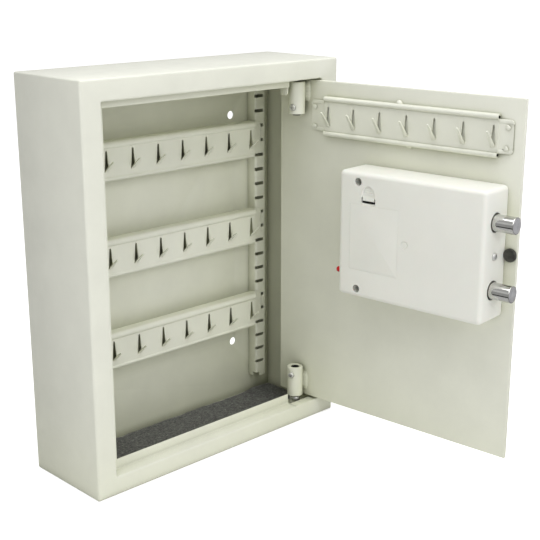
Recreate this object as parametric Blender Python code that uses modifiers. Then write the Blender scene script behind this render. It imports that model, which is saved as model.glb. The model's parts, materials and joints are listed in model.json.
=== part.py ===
"""Wall-mounted electronic key cabinet: sheet steel shell, adjustable hook bars, and a door
with its lock case, bolts, knob, keypad and override lock. The door stands open at rest.

World axes: +X to the right seen from the front, +Y towards the wall, +Z up. The origin is
the centre of the back panel's outer face. All driving sizes below are in millimetres, and
MM turns them into Blender's metres.

Cabinet sizes (x, y, z) count from the left outer face, the front face and the underside.
Door sizes (u, w, z) count from the hinge axis along the door, from the door's inner face
into the cabinet, and up from the underside. They hold whatever angle the door stands at.
"""

from math import cos, pi, radians, sin

import bmesh
import bpy
from mathutils import Matrix, Vector

MM = 0.001
GAP = 0.3                    # left between neighbouring pieces

# Shell
CAB_W, CAB_D, CAB_H = 298, 96, 365
SHEET = 1.5
FOLD_R = 1.8                 # outside radius of the folded edges
FLANGE_LEFT = 20
FLANGE_RIGHT = 21.5
FLANGE_TOP = 18.5
OPEN_LOW = 17.5              # underside of the door opening
OPEN_TOP = CAB_H - FLANGE_TOP
OPEN_RIGHT = CAB_W - FLANGE_RIGHT
STOP_Y = 12.3                # front of the door stop lip
STOP_RISE_LOW = 9.5          # how far the lip stands into the opening at its foot and left
STOP_RISE_HIGH = 7.2         # and along the top
STOP_END_X = 245             # the lip ends here, clear of the hinge tube

# Back panel and wall holes
WALL_HOLE_R = 4
WALL_HOLES_X = (54, CAB_W - 54)
WALL_HOLES_Z = (64, 305)

# Slotted standards and hook bars
STANDARD_X = 268             # inner edge of the right standard's front strip
STANDARD_W = 12
STANDARD_FRONT = 83.5
STANDARD_LOW, STANDARD_HIGH = 21, 340
SLOT_COUNT = 20
SLOT_PITCH = 15
SLOT_FIRST_Z = 38
SLOT_H = 3.4
BAR_SHEET = 1.0
BAR_HALF_H = 18
BAR_FACE_Y = 74.5
BAR_ENDS = (40.5, CAB_W - 40.5)
BAR_CENTRES_Z = {"top": 282, "middle": 192, "bottom": 102}
BEAD_R = 2.2
HOOK_PITCH = 29.5
HOOK_LENGTH = 19
HOOK_ANGLE = radians(47)     # how far a hook leans out from the bar
INNER_HOOKS = 8
DOOR_HOOKS = 7

# Felt mat
MAT_T = 3

# Door and hinges
AXIS_X, AXIS_Y = 261, 18
AXIS_TO_FACE = 9             # hinge axis to the door's inner face
DOOR_OPEN = 95               # degrees from closed, as the model stands
DOOR_T = 3.5
DOOR_HINGE_EDGE = -27.5      # the plate runs on past the axis, behind the right flange
DOOR_FREE_EDGE = 238.5
DOOR_LOW, DOOR_HIGH = 20, 345
TUBE_R, TUBE_BORE_R = 8, 4.5
TUBE_LENGTH = 31
TUBE_TOP_Z = (312.5, 312.5 + TUBE_LENGTH)
TUBE_BOTTOM_Z = (21.5, 21.5 + TUBE_LENGTH)
PIN_R = 4
BRACKET_T = 3
LOW_BRACKET_Z = 9            # the lower bracket lies deep under the opening
SET_SCREW_R = 3
BUFFER_U, BUFFER_Z, BUFFER_R, BUFFER_H = 232.8, 210, 5.4, 3

# Door hook bar
DOOR_BAR_Z = 312
DOOR_BAR_FACE_W = 5
DOOR_BAR_U = (29.5, 215.5)
DOOR_BAR_EARS_U = (12.5, 229)

# Lock case and what it holds
CASE_U = (73.5, 226.7)
CASE_Z = (153, 271)
CASE_W = 36.3
CASE_WALL = 2.5
CASE_EDGE_R = 4.5
CASE_SCREWS_Z = (161, 262)
CASE_SCREW_U = 95
MID_Z = 211.5                # height of the spindle and of the bolts' middle
BOLT_R = 7.5
BOLT_OFFSET_Z = 30
BOLT_W = 18.3
BOLT_TIP_U, BOLT_TAIL_U = 246.5, 196
BOLT_HOLE_R = 8.8
ARM_W = (9.5, 12.5)          # carriage arm, in its thickness direction
CAM_W = (13.2, 16.2)
CAM_PIN_RADIUS = 13
CAM_REST = radians(38)       # cam pin's lean from upright with the bolts out
BOLT_THROW = 2 * CAM_PIN_RADIUS * sin(CAM_REST)
CAM_PIN_R = 2
SPINDLE_U, SPINDLE_R = 147, 4
SOLENOID_U, SOLENOID_W = 162, 11
PLUNGER_R = 3
PLUNGER_TRAVEL = 4
PLUNGER_TIP_Z = MID_Z + 20   # 1.5 above the carriage arm
COLLAR_Z = (PLUNGER_TIP_Z + 3, PLUNGER_TIP_Z + 4.2)
BATTERY_U = (86.5, 139.5)    # battery window
BATTERY_Z = (179.5, 241.5)
LATCH_U, LATCH_HALF, LATCH_TOP = 106.4, 7.9, 248
CELL_R, CELL_LENGTH = 7.1, 50.2
CABLE_HOLE_U, CABLE_HOLE_Z, CABLE_HOLE_R = 156, 181, 5
BOARD_W = (24.5, 26.1)
RESET_W, RESET_Z, RESET_R = 29.4, 174, 2.7

# Keypad unit on the door's outer face
UNIT_U = (84, 214)
UNIT_Z = (172, 251)
UNIT_W = (-17, -DOOR_T - GAP)
UNIT_WALL = 2.5
KEY_U, KEY_Z = 188, 211.5
KEY_PITCH_U, KEY_PITCH_Z = 14.5, 16
KEY_SIZE = (11.5, 12)
KEY_W = (-18.8, -13.5)
KEY_LABELS = ("1", "2", "3", "4", "5", "6", "7", "8", "9", "star", "0", "hash")
OVERRIDE_U, OVERRIDE_BODY_R, OVERRIDE_PLUG_R = 108, 9, 6
COVER_PIVOT_Z = 229
LENS_Z, LENS_SIZE = 241, (20, 6)

ROUND = 20                   # sides of a small round piece
CREAM = (0.72, 0.72, 0.62)

for old in list(bpy.data.objects):
    bpy.data.objects.remove(old, do_unlink=True)


def new_collection(name):
    collection = bpy.data.collections.new(name)
    bpy.context.scene.collection.children.link(collection)
    return collection


PARTS = new_collection("key_cabinet")
HELPERS = new_collection("helpers")
HELPERS.hide_render = True


def make_material(name, colour, roughness, metallic=0.0):
    material = bpy.data.materials.new(name)
    material.use_nodes = True
    shader = material.node_tree.nodes["Principled BSDF"]
    shader.inputs["Base Color"].default_value = (*colour, 1)
    shader.inputs["Roughness"].default_value = roughness
    shader.inputs["Metallic"].default_value = metallic
    return material


MATERIALS = {
    "powder_coat": make_material("powder_coat", CREAM, 0.45),
    "felt": make_material("felt", (0.07, 0.07, 0.065), 0.95),
    "case_plastic": make_material("case_plastic", (0.8, 0.8, 0.74), 0.4),
    "chrome": make_material("chrome", (0.75, 0.75, 0.77), 0.12, 1),
    "zinc_steel": make_material("zinc_steel", (0.55, 0.55, 0.55), 0.35, 1),
    "rubber": make_material("rubber", (0.03, 0.03, 0.025), 0.8),
    "red_plastic": make_material("red_plastic", (0.6, 0.03, 0.03), 0.4),
    "dark_plastic": make_material("dark_plastic", (0.04, 0.04, 0.045), 0.5),
    "key_plastic": make_material("key_plastic", (0.5, 0.5, 0.5), 0.5),
    "lens": make_material("lens", (0.25, 0.02, 0.02), 0.15),
    "board": make_material("board", (0.03, 0.2, 0.07), 0.5),
    "copper": make_material("copper", (0.55, 0.25, 0.1), 0.4, 1),
    "cell_wrap": make_material("cell_wrap", (0.1, 0.12, 0.2), 0.4),
    "brass": make_material("brass", (0.6, 0.45, 0.2), 0.3, 1),
}


def cabinet(x, y, z):
    """A point of the cabinet, from millimetres to world metres."""
    return Vector((x - CAB_W / 2, y - CAB_D, z - CAB_H / 2)) * MM


def door(u, w, z):
    """A point of the door, in metres in the frame of the empty on the hinge axis."""
    return Vector((-u, w - AXIS_TO_FACE, z - CAB_H / 2)) * MM


def add_box(bm, place, low, high):
    """A box between two corners, which place() turns into metres."""
    a, b = place(*low), place(*high)
    size = Matrix.Diagonal([*(abs(b[i] - a[i]) for i in range(3)), 1])
    bmesh.ops.create_cube(bm, size=1, matrix=Matrix.Translation((a + b) / 2) @ size)


def add_cylinder(bm, place, start, end, radius, end_radius=None, sides=ROUND):
    """A cylinder or cone between the centres of its two ends."""
    a, b = place(*start), place(*end)
    turn = (b - a).to_track_quat("Z", "Y").to_matrix().to_4x4()
    bmesh.ops.create_cone(
        bm,
        cap_ends=True,
        segments=sides,
        radius1=radius * MM,
        radius2=(radius if end_radius is None else end_radius) * MM,
        depth=(b - a).length,
        matrix=Matrix.Translation((a + b) / 2) @ turn,
    )


def add_prism(bm, place, outline, offset):
    """A prism: the outline's points pushed along an offset, both in the place's own sizes."""
    bottom = [bm.verts.new(place(*point)) for point in outline]
    face = bm.faces.new(bottom)
    pushed = bmesh.ops.extrude_face_region(bm, geom=[face])["geom"]
    moved = [item for item in pushed if isinstance(item, bmesh.types.BMVert)]
    shift = place(*offset) - place(0, 0, 0)
    bmesh.ops.translate(bm, verts=moved, vec=shift)


def cross_outline(long, narrow):
    """A plus sign's corners about its own centre, as (across, up) pairs."""
    quarter = [(long, narrow), (narrow, narrow), (narrow, long)]
    outline = []
    for across_sign, up_sign in ((1, 1), (-1, 1), (-1, -1), (1, -1)):
        corner = [(across_sign * a, up_sign * b) for a, b in quarter]
        outline += corner if across_sign * up_sign > 0 else corner[::-1]
    return outline


def build(adder):
    """A mesh filled by adder(bm), with its faces turned outwards."""
    bm = bmesh.new()
    adder(bm)
    bmesh.ops.recalc_face_normals(bm, faces=bm.faces)
    mesh = bpy.data.meshes.new("mesh")
    bm.to_mesh(mesh)
    bm.free()
    return mesh


def add_object(name, mesh, collection, parent, origin):
    """An object whose origin stands at a point of its mesh's frame."""
    mesh.name = name
    mesh.transform(Matrix.Translation(-origin))
    made = bpy.data.objects.new(name, mesh)
    made.location = origin
    made.parent = parent
    collection.objects.link(made)
    return made


def helper(name, adder, parent):
    """A mesh that only a Boolean uses."""
    made = add_object(name, build(adder), HELPERS, parent, Vector())
    made.hide_render = True
    made.display_type = "WIRE"
    return made


def boolean(target, operation, other):
    modifier = target.modifiers.new(operation.lower(), "BOOLEAN")
    modifier.operation = operation
    modifier.solver = "EXACT"
    modifier.object = other


def bevel(target, width, segments=2, angle=40):
    modifier = target.modifiers.new("edges", "BEVEL")
    modifier.width = width * MM
    modifier.segments = segments
    modifier.limit_method = "ANGLE"
    modifier.angle_limit = radians(angle)


def piece(name, material, adder, parent=None, origin=None, edge=None, joins=(), cuts=()):
    """A named piece: its own solids, then an edge bevel, joined solids and cut-outs."""
    made = add_object(name, build(adder), PARTS, parent, origin or Vector())
    made.data.materials.append(MATERIALS[material])
    if edge:
        bevel(made, *edge)
    for index, join in enumerate(joins):
        boolean(made, "UNION", helper(f"{name}_join{index}", join, parent))
    for index, cut in enumerate(cuts):
        boolean(made, "DIFFERENCE", helper(f"{name}_cut{index}", cut, parent))
    return made


def smooth(made, angle=35):
    made.data.shade_smooth()
    made.data.set_sharp_from_angle(angle=radians(angle))
    return made


def empty(name, location, parent=None, turn=0.0):
    made = bpy.data.objects.new(name, None)
    made.location = location
    made.rotation_euler = (0, 0, turn)
    made.parent = parent
    made.empty_display_size = 10 * MM
    PARTS.objects.link(made)
    return made


# ------------------------------------------------------------------ cabinet body


def make_shell():
    """Wrapper with folded front flange, recess shelf and door stop lip, open at the back."""

    def outside(bm):
        add_box(bm, cabinet, (0, 0, 0), (CAB_W, CAB_D, CAB_H))
        rear = [e for e in bm.edges if all(v.co.y > -CAB_D * MM / 2 for v in e.verts)]
        folds = [e for e in bm.edges if e not in rear]
        bmesh.ops.bevel(
            bm, geom=folds, offset=FOLD_R * MM, segments=3, profile=0.5, affect="EDGES"
        )

    def hollow(bm):
        low = (SHEET, SHEET, SHEET)
        add_box(bm, cabinet, low, (CAB_W - SHEET, CAB_D + 5, CAB_H - SHEET))

    def opening(bm):
        low = (FLANGE_LEFT, -5, OPEN_LOW)
        add_box(bm, cabinet, low, (OPEN_RIGHT, SHEET + 5, OPEN_TOP))

    def frame_outline(y, behind, rise, rise_high):
        """U round the opening: from behind its edge to inside it, open on the right."""
        left, low, high = FLANGE_LEFT, OPEN_LOW, OPEN_TOP
        return [
            (STOP_END_X, y, low - behind), (left - behind, y, low - behind),
            (left - behind, y, high + behind), (STOP_END_X, y, high + behind),
            (STOP_END_X, y, high - rise_high), (left + rise, y, high - rise_high),
            (left + rise, y, low + rise), (STOP_END_X, y, low + rise),
        ]

    def stop_shelf(bm):
        """Runs back from inside the flange, so that the two solids overlap."""
        add_prism(bm, cabinet, frame_outline(1, SHEET, 0, 0), (0, STOP_Y + SHEET - 1, 0))

    def stop_lip(bm):
        """Ends a little short of the shelf's rear edge, so that no faces coincide."""
        outline = frame_outline(STOP_Y, SHEET / 2, STOP_RISE_LOW, STOP_RISE_HIGH)
        add_prism(bm, cabinet, outline, (0, SHEET * 0.9, 0))

    shell = piece("cabinet_shell", "powder_coat", outside, cuts=[hollow, opening])
    for index, part in enumerate((stop_shelf, stop_lip)):
        boolean(shell, "UNION", helper(f"cabinet_shell_stop{index}", part, None))
    return shell


def make_back_panel():
    edge = SHEET + GAP

    def plate(bm):
        add_box(bm, cabinet, (edge, CAB_D - SHEET, edge), (CAB_W - edge, CAB_D, CAB_H - edge))

    def holes(bm):
        for x in WALL_HOLES_X:
            for z in WALL_HOLES_Z:
                start, end = (x, CAB_D - 5, z), (x, CAB_D + 5, z)
                add_cylinder(bm, cabinet, start, end, WALL_HOLE_R, sides=16)

    return piece("back_panel", "powder_coat", plate, cuts=[holes])


def make_standard(name, inner_x, side):
    """Slotted channel on the back panel. side is +1 on the right and -1 on the left."""
    outer_x = inner_x + side * STANDARD_W
    rear = CAB_D - SHEET - GAP

    def channel(bm):
        wall = side * 1.2
        outline = [
            (inner_x, rear, STANDARD_LOW), (inner_x, STANDARD_FRONT, STANDARD_LOW),
            (outer_x, STANDARD_FRONT, STANDARD_LOW), (outer_x, rear, STANDARD_LOW),
            (outer_x - wall, rear, STANDARD_LOW),
            (outer_x - wall, STANDARD_FRONT + abs(wall), STANDARD_LOW),
            (inner_x + wall, STANDARD_FRONT + abs(wall), STANDARD_LOW),
            (inner_x + wall, rear, STANDARD_LOW),
        ]
        add_prism(bm, cabinet, outline, (0, 0, STANDARD_HIGH - STANDARD_LOW))

    def slots(bm):
        for index in range(SLOT_COUNT):
            z = SLOT_FIRST_Z + index * SLOT_PITCH
            low = (inner_x - side, STANDARD_FRONT - 2, z - SLOT_H / 2)
            high = (outer_x - side * 2.2, STANDARD_FRONT + 1.4, z + SLOT_H / 2)
            add_box(bm, cabinet, low, high)

    return piece(name, "powder_coat", channel, cuts=[slots])


def bar_profile(face, rear):
    """Cross-section of a hook bar as (depth, height) points from its lower rear edge up.

    The beads stand out past the face, away from the rear, whichever way that is, so the
    same outline serves the cabinet's bars and the door's.
    """
    towards = 1 if face > rear else -1
    half = [(rear, BAR_HALF_H)]
    centre_depth = face - towards * BEAD_R * 0.45
    centre_height = BAR_HALF_H - BEAD_R - 0.6
    for step in range(5):
        angle = radians(75 - 37.5 * step)
        depth = centre_depth + towards * BEAD_R * cos(angle)
        half.append((depth, centre_height + BEAD_R * sin(angle)))
    half[-1] = (face, centre_height - BEAD_R - 0.4)
    return [(depth, -height) for depth, height in half] + list(reversed(half))


def make_hook_bar(name, place, ends, hooks, centre_z, face, rear, along_first, more=()):
    """A pressed bar with stiffening beads and hooks lanced out of its face.

    place maps (along, depth, height); along_first is the first hook's place on the bar.
    """
    out = 1 if face > rear else -1
    hook_places = [along_first + index * HOOK_PITCH for index in range(hooks)]
    slot_low = centre_z - HOOK_LENGTH / 2 - 1
    slot_high = slot_low + HOOK_LENGTH

    def strip(bm):
        profile = bar_profile(face, rear)
        rows = []
        for along in ends:
            rows.append([bm.verts.new(place(along, d, centre_z + h)) for d, h in profile])
        for a, b, c, d in zip(rows[0], rows[0][1:], rows[1][1:], rows[1]):
            bm.faces.new((a, b, c, d))

    def slots(bm):
        for at in hook_places:
            outline = [
                (at - 2.6, face - out * 3, slot_low), (at + 2.6, face - out * 3, slot_low + 2.5),
                (at + 1.3, face - out * 3, slot_high), (at - 1.3, face - out * 3, slot_high),
            ]
            add_prism(bm, place, outline, (0, out * 6, 0))

    def hook_tongues(bm):
        """Each tongue is rooted in the bar just under its slot and leans up and out."""
        reach, lift = HOOK_LENGTH * sin(HOOK_ANGLE), HOOK_LENGTH * cos(HOOK_ANGLE)
        thick = BAR_SHEET * 1.1
        for at in hook_places:
            root = face - out * BAR_SHEET * 0.85
            foot = slot_low - 1.6
            outline = [
                (at - 2.3, root, foot), (at + 2.3, root, foot),
                (at + 1.2, root + out * reach, foot + lift),
                (at - 1.2, root + out * reach, foot + lift),
            ]
            add_prism(bm, place, outline, (0, out * thick * 0.3, thick * 1.4))

    bar = piece(name, "powder_coat", strip, parent=place_parent(place))
    thickness = bar.modifiers.new("sheet", "SOLIDIFY")
    thickness.thickness = BAR_SHEET * MM
    thickness.offset = -1
    thickness.use_even_offset = True
    parent = place_parent(place)
    for index, join in enumerate((hook_tongues, *more)):
        boolean(bar, "UNION", helper(f"{name}_join{index}", join, parent))
    boolean(bar, "DIFFERENCE", helper(f"{name}_slots", slots, parent))
    return bar


def place_parent(place):
    """Door pieces hang on the hinge axis; cabinet pieces stand on their own."""
    return HINGE if place is door else None


def make_inner_bars():
    first = CAB_W / 2 - (INNER_HOOKS - 1) * HOOK_PITCH / 2
    rear = STANDARD_FRONT - 0.8
    for level, centre_z in BAR_CENTRES_Z.items():
        slot_z = [
            SLOT_FIRST_Z + SLOT_PITCH * round((centre_z + shift - SLOT_FIRST_Z) / SLOT_PITCH)
            for shift in (-SLOT_PITCH / 2 + 1, SLOT_PITCH / 2 + 1)
        ]

        def end_plates(bm, centre_z=centre_z):
            for low, high in ((24.5, 43), (CAB_W - 43, CAB_W - 24.5)):
                bottom = (low, STANDARD_FRONT - GAP - 1.2, centre_z - BAR_HALF_H + 2)
                top = (high, STANDARD_FRONT - GAP, centre_z + BAR_HALF_H - 1.5)
                add_box(bm, cabinet, bottom, top)

        def end_bridges(bm, centre_z=centre_z):
            for low, high in ((40.8, 42.3), (CAB_W - 42.3, CAB_W - 40.8)):
                bottom = (low, BAR_FACE_Y + 0.4, centre_z - 12)
                top = (high, STANDARD_FRONT - GAP - 0.6, centre_z + 12)
                add_box(bm, cabinet, bottom, top)

        def lugs(bm, slot_z=slot_z):
            for z in slot_z:
                for low, high in ((23, 27.6), (CAB_W - 27.6, CAB_W - 23)):
                    bottom = (low, STANDARD_FRONT - 1.1, z - 1.2)
                    add_box(bm, cabinet, bottom, (high, STANDARD_FRONT + 3.6, z + 1.2))

        make_hook_bar(
            f"hook_bar_{level}", cabinet, BAR_ENDS, INNER_HOOKS, centre_z,
            BAR_FACE_Y, rear, first, more=(end_bridges, end_plates, lugs),
        )


def make_felt_mat():
    def mat(bm):
        low = (SHEET + 1.5, STOP_Y + SHEET + 1, SHEET + GAP)
        high = (CAB_W - SHEET - 1.5, CAB_D - SHEET - 1, SHEET + GAP + MAT_T)
        add_box(bm, cabinet, low, high)

    return piece("felt_mat", "felt", mat)


def make_hinge_bracket(name, plate_z, tab_z=None):
    """Plate that carries a hinge pin. The upper one has a short tab beside the tube."""
    inner_x = STOP_END_X + 2

    def plate(bm):
        low = (inner_x, SHEET + GAP, plate_z)
        add_box(bm, cabinet, low, (CAB_W - SHEET - GAP, 29, plate_z + BRACKET_T))

    def tab(bm):
        add_box(bm, cabinet, (inner_x, 17, tab_z[0]), (inner_x + 1.5, 27, tab_z[1]))

    def pin_hole(bm):
        low, high = (AXIS_X, AXIS_Y, plate_z - 2), (AXIS_X, AXIS_Y, plate_z + BRACKET_T + 2)
        add_cylinder(bm, cabinet, low, high, PIN_R + GAP)

    return piece(name, "powder_coat", plate, joins=[tab] if tab_z else [], cuts=[pin_hole])


# ------------------------------------------------------------------ door


def make_door_panel():
    def plate(bm):
        low = (DOOR_HINGE_EDGE, -DOOR_T, DOOR_LOW)
        add_box(bm, door, low, (DOOR_FREE_EDGE, 0, DOOR_HIGH))

    def holes(bm):
        for u, z, radius in (
            (SPINDLE_U, MID_Z, SPINDLE_R + 1),
            (OVERRIDE_U, MID_Z, OVERRIDE_BODY_R + GAP),
            (CABLE_HOLE_U, CABLE_HOLE_Z, CABLE_HOLE_R),
        ):
            add_cylinder(bm, door, (u, -DOOR_T - 2, z), (u, 2, z), radius)

    return piece("door_panel", "powder_coat", plate, HINGE, edge=(0.6, 1), cuts=[holes])



def make_hinge(name, tube_z, pin_z, head_z, screw_z):
    """Tube welded to the door, the pin through it and the set screw that holds the pin."""
    axis_w = AXIS_TO_FACE

    def tube(bm):
        add_cylinder(bm, door, (0, axis_w, tube_z[0]), (0, axis_w, tube_z[1]), TUBE_R, sides=24)

    def bore(bm):
        start, end = (0, axis_w, tube_z[0] - 2), (0, axis_w, tube_z[1] + 2)
        add_cylinder(bm, door, start, end, TUBE_BORE_R, sides=24)

    def screw_hole(bm):
        start, end = (0, axis_w + 2, screw_z), (0, axis_w + TUBE_R + 3, screw_z)
        add_cylinder(bm, door, start, end, SET_SCREW_R + GAP)

    def pin(bm):
        add_cylinder(bm, door, (0, axis_w, pin_z[0]), (0, axis_w, pin_z[1]), PIN_R)

    def pin_head(bm):
        add_cylinder(bm, door, (0, axis_w, head_z[0]), (0, axis_w, head_z[1]), PIN_R + 1.5)

    def set_screw(bm):
        start = (0, axis_w + PIN_R + GAP, screw_z)
        add_cylinder(bm, door, start, (0, axis_w + TUBE_R + 1.6, screw_z), SET_SCREW_R)

    def socket(bm):
        start = (0, axis_w + TUBE_R - 0.8, screw_z)
        add_cylinder(bm, door, start, (0, axis_w + TUBE_R + 3, screw_z), 1.6, sides=6)

    smooth(piece(f"hinge_tube_{name}", "powder_coat", tube, HINGE, cuts=[bore, screw_hole]))
    smooth(piece(f"hinge_pin_{name}", "zinc_steel", pin, HINGE, joins=[pin_head]))
    smooth(piece(f"hinge_set_screw_{name}", "chrome", set_screw, HINGE, cuts=[socket]))


def make_door_hook_bar():
    first = sum(DOOR_BAR_U) / 2 - (DOOR_HOOKS - 1) * HOOK_PITCH / 2

    def ears(bm):
        """A flat foot at each end, spot welded to the door."""
        inner = (DOOR_BAR_U[0] + 3, DOOR_BAR_U[1] - 3)
        for a, b in zip(sorted(DOOR_BAR_EARS_U), inner):
            low, high = min(a, b), max(a, b)
            bottom = (low, GAP, DOOR_BAR_Z - BAR_HALF_H + 1)
            add_box(bm, door, bottom, (high, GAP + BAR_SHEET, DOOR_BAR_Z + BAR_HALF_H - 1))

    def end_walls(bm):
        for low in (DOOR_BAR_U[0] + 0.4, DOOR_BAR_U[1] - 1.4):
            bottom = (low, GAP + BAR_SHEET / 2, DOOR_BAR_Z - 12.5)
            top = (low + 1, DOOR_BAR_FACE_W - BAR_SHEET / 2, DOOR_BAR_Z + 12.5)
            add_box(bm, door, bottom, top)

    make_hook_bar(
        "door_hook_bar", door, DOOR_BAR_U, DOOR_HOOKS, DOOR_BAR_Z,
        DOOR_BAR_FACE_W, GAP, first, more=(end_walls, ears),
    )


def make_rubber_buffer():
    def disc(bm):
        start, end = (BUFFER_U, GAP, BUFFER_Z), (BUFFER_U, BUFFER_H, BUFFER_Z)
        add_cylinder(bm, door, start, end, BUFFER_R, sides=24)

    return smooth(piece("rubber_buffer", "rubber", disc, HINGE, edge=(0.6, 1)))


# ------------------------------------------------------------------ lock case


def make_lock_case():
    low_u, high_u = CASE_U
    low_z, high_z = CASE_Z
    front = CASE_W - CASE_WALL

    def body(bm):
        add_box(bm, door, (low_u, GAP, low_z), (high_u, CASE_W, high_z))
        back = door(0, GAP, 0).y + 1e-6
        rounded = [e for e in bm.edges if not all(v.co.y < back for v in e.verts)]
        bmesh.ops.bevel(
            bm, geom=rounded, offset=CASE_EDGE_R * MM, segments=3, profile=0.5, affect="EDGES"
        )

    def hollow(bm):
        wall = CASE_WALL
        low = (low_u + wall, -5, low_z + wall)
        add_box(bm, door, low, (high_u - wall, front, high_z - wall))

    def bosses(bm):
        for z in CASE_SCREWS_Z:
            start, end = (CASE_SCREW_U, 24, z), (CASE_SCREW_U, front + 0.8, z)
            add_cylinder(bm, door, start, end, 5.2, sides=16)

    def screw_wells(bm):
        for z in CASE_SCREWS_Z:
            start, end = (CASE_SCREW_U, 27.5, z), (CASE_SCREW_U, CASE_W + 3, z)
            add_cylinder(bm, door, start, end, 3.8, sides=16)

    def screw_shafts(bm):
        for z in CASE_SCREWS_Z:
            add_cylinder(bm, door, (CASE_SCREW_U, 20, z), (CASE_SCREW_U, 29, z), 1.9, sides=16)

    def side_holes(bm):
        for z in (MID_Z - BOLT_OFFSET_Z, MID_Z + BOLT_OFFSET_Z):
            start, end = (high_u - 5, BOLT_W, z), (high_u + 5, BOLT_W, z)
            add_cylinder(bm, door, start, end, BOLT_HOLE_R, sides=24)
        start, end = (high_u - 5, BOLT_W, MID_Z), (high_u + 5, BOLT_W, MID_Z)
        add_cylinder(bm, door, start, end, 2.1, sides=16)
        start, end = (low_u - 5, RESET_W, RESET_Z), (low_u + 5, RESET_W, RESET_Z)
        add_cylinder(bm, door, start, end, RESET_R + 0.4)

    def battery_window(bm):
        low = (BATTERY_U[0], front - 3, BATTERY_Z[0])
        add_box(bm, door, low, (BATTERY_U[1], CASE_W + 3, BATTERY_Z[1]))

    def latch_slot(bm):
        low = (LATCH_U - LATCH_HALF, front - 3, BATTERY_Z[1] - 1)
        add_box(bm, door, low, (LATCH_U + LATCH_HALF, CASE_W + 3, LATCH_TOP))

    def thumb_recess(bm):
        depth = CASE_W - 1.6
        outline = [(LATCH_U + LATCH_HALF, depth, LATCH_TOP - 0.5)]
        for step in range(9):
            angle = pi * step / 8
            u = LATCH_U + LATCH_HALF * cos(angle)
            outline.append((u, depth, LATCH_TOP + 2 + LATCH_HALF * sin(angle) * 0.95))
        outline.append((LATCH_U - LATCH_HALF, depth, LATCH_TOP - 0.5))
        add_prism(bm, door, outline, (0, 5, 0))

    case = smooth(piece("lock_case", "case_plastic", body, HINGE, cuts=[hollow]))
    boolean(case, "UNION", helper("lock_case_bosses", bosses, HINGE))
    trims = (
        screw_wells, screw_shafts, side_holes, battery_window, latch_slot, thumb_recess,
    )
    for index, trim in enumerate(trims):
        boolean(case, "DIFFERENCE", helper(f"lock_case_trim{index}", trim, HINGE))


def make_case_screws():
    for name, z in zip(("lower", "upper"), CASE_SCREWS_Z):
        def shaft(bm, z=z):
            add_cylinder(bm, door, (CASE_SCREW_U, 2.2, z), (CASE_SCREW_U, 28, z), 1.5, sides=12)

        def head(bm, z=z):
            start, end = (CASE_SCREW_U, 27.9, z), (CASE_SCREW_U, 30.4, z)
            add_cylinder(bm, door, start, end, 3.1)

        def cross(bm, z=z):
            outline = [(CASE_SCREW_U + du, 29.4, z + dz) for du, dz in cross_outline(2, 0.4)]
            add_prism(bm, door, outline, (0, 3, 0))

        screw = piece(f"case_screw_{name}", "zinc_steel", shaft, HINGE, joins=[head])
        boolean(screw, "DIFFERENCE", helper(f"case_screw_{name}_cross", cross, HINGE))
        smooth(screw)


def make_case_side_screw():
    side = CASE_U[1]

    def shaft(bm):
        add_cylinder(bm, door, (side - 11, BOLT_W, MID_Z), (side + 0.4, BOLT_W, MID_Z), 1.7, sides=12)

    def head(bm):
        start, end = (side + GAP, BOLT_W, MID_Z), (side + 2, BOLT_W, MID_Z)
        add_cylinder(bm, door, start, end, 3.6, end_radius=2.6)

    def cross(bm):
        outline = [
            (side + 1.1, BOLT_W + dw, MID_Z + dz) for dw, dz in cross_outline(1.7, 0.4)
        ]
        add_prism(bm, door, outline, (3, 0, 0))

    smooth(piece("case_side_screw", "chrome", shaft, HINGE, joins=[head], cuts=[cross]))


def make_lock_base_plate():
    def plate(bm):
        add_box(bm, door, (CASE_U[0] + 5, GAP, CASE_Z[0] + 5), (CASE_U[1] - 6, 1.8, CASE_Z[1] - 5))

    def holes(bm):
        for u, z, radius in (
            (SPINDLE_U, MID_Z, SPINDLE_R + 1),
            (OVERRIDE_U, MID_Z, OVERRIDE_BODY_R + GAP),
            (CABLE_HOLE_U, CABLE_HOLE_Z, CABLE_HOLE_R),
        ):
            add_cylinder(bm, door, (u, -2, z), (u, 4, z), radius)

    piece("lock_base_plate", "zinc_steel", plate, HINGE, cuts=[holes])


def make_bolt_guide():
    """Angle bracket just inside the case's side that both bolts run through."""
    plate_u = (CASE_U[1] - 8, CASE_U[1] - 6)

    def upright(bm):
        add_box(bm, door, (plate_u[0], 2.1, 166), (plate_u[1], 32, 257))

    def foot(bm):
        add_box(bm, door, (plate_u[0] - 9, 2.1, 168), (plate_u[0] + 1, 3.6, 255))

    def holes(bm):
        for z in (MID_Z - BOLT_OFFSET_Z, MID_Z + BOLT_OFFSET_Z):
            start, end = (plate_u[0] - 3, BOLT_W, z), (plate_u[1] + 3, BOLT_W, z)
            add_cylinder(bm, door, start, end, BOLT_R + 0.4, sides=24)
        start, end = (plate_u[0] - 3, BOLT_W, MID_Z), (plate_u[1] + 3, BOLT_W, MID_Z)
        add_cylinder(bm, door, start, end, 2.1, sides=16)

    piece("bolt_guide", "zinc_steel", upright, HINGE, joins=[foot], cuts=[holes])


def make_bolts():
    for name, z in (("lower", MID_Z - BOLT_OFFSET_Z), ("upper", MID_Z + BOLT_OFFSET_Z)):
        def rod(bm, z=z):
            start, end = (BOLT_TAIL_U, BOLT_W, z), (BOLT_TIP_U, BOLT_W, z)
            add_cylinder(bm, door, start, end, BOLT_R, sides=24)

        origin = door(BOLT_TIP_U, BOLT_W, z)
        smooth(piece(f"bolt_{name}", "chrome", rod, HINGE, origin, edge=(0.7, 1, 60)))


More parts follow.
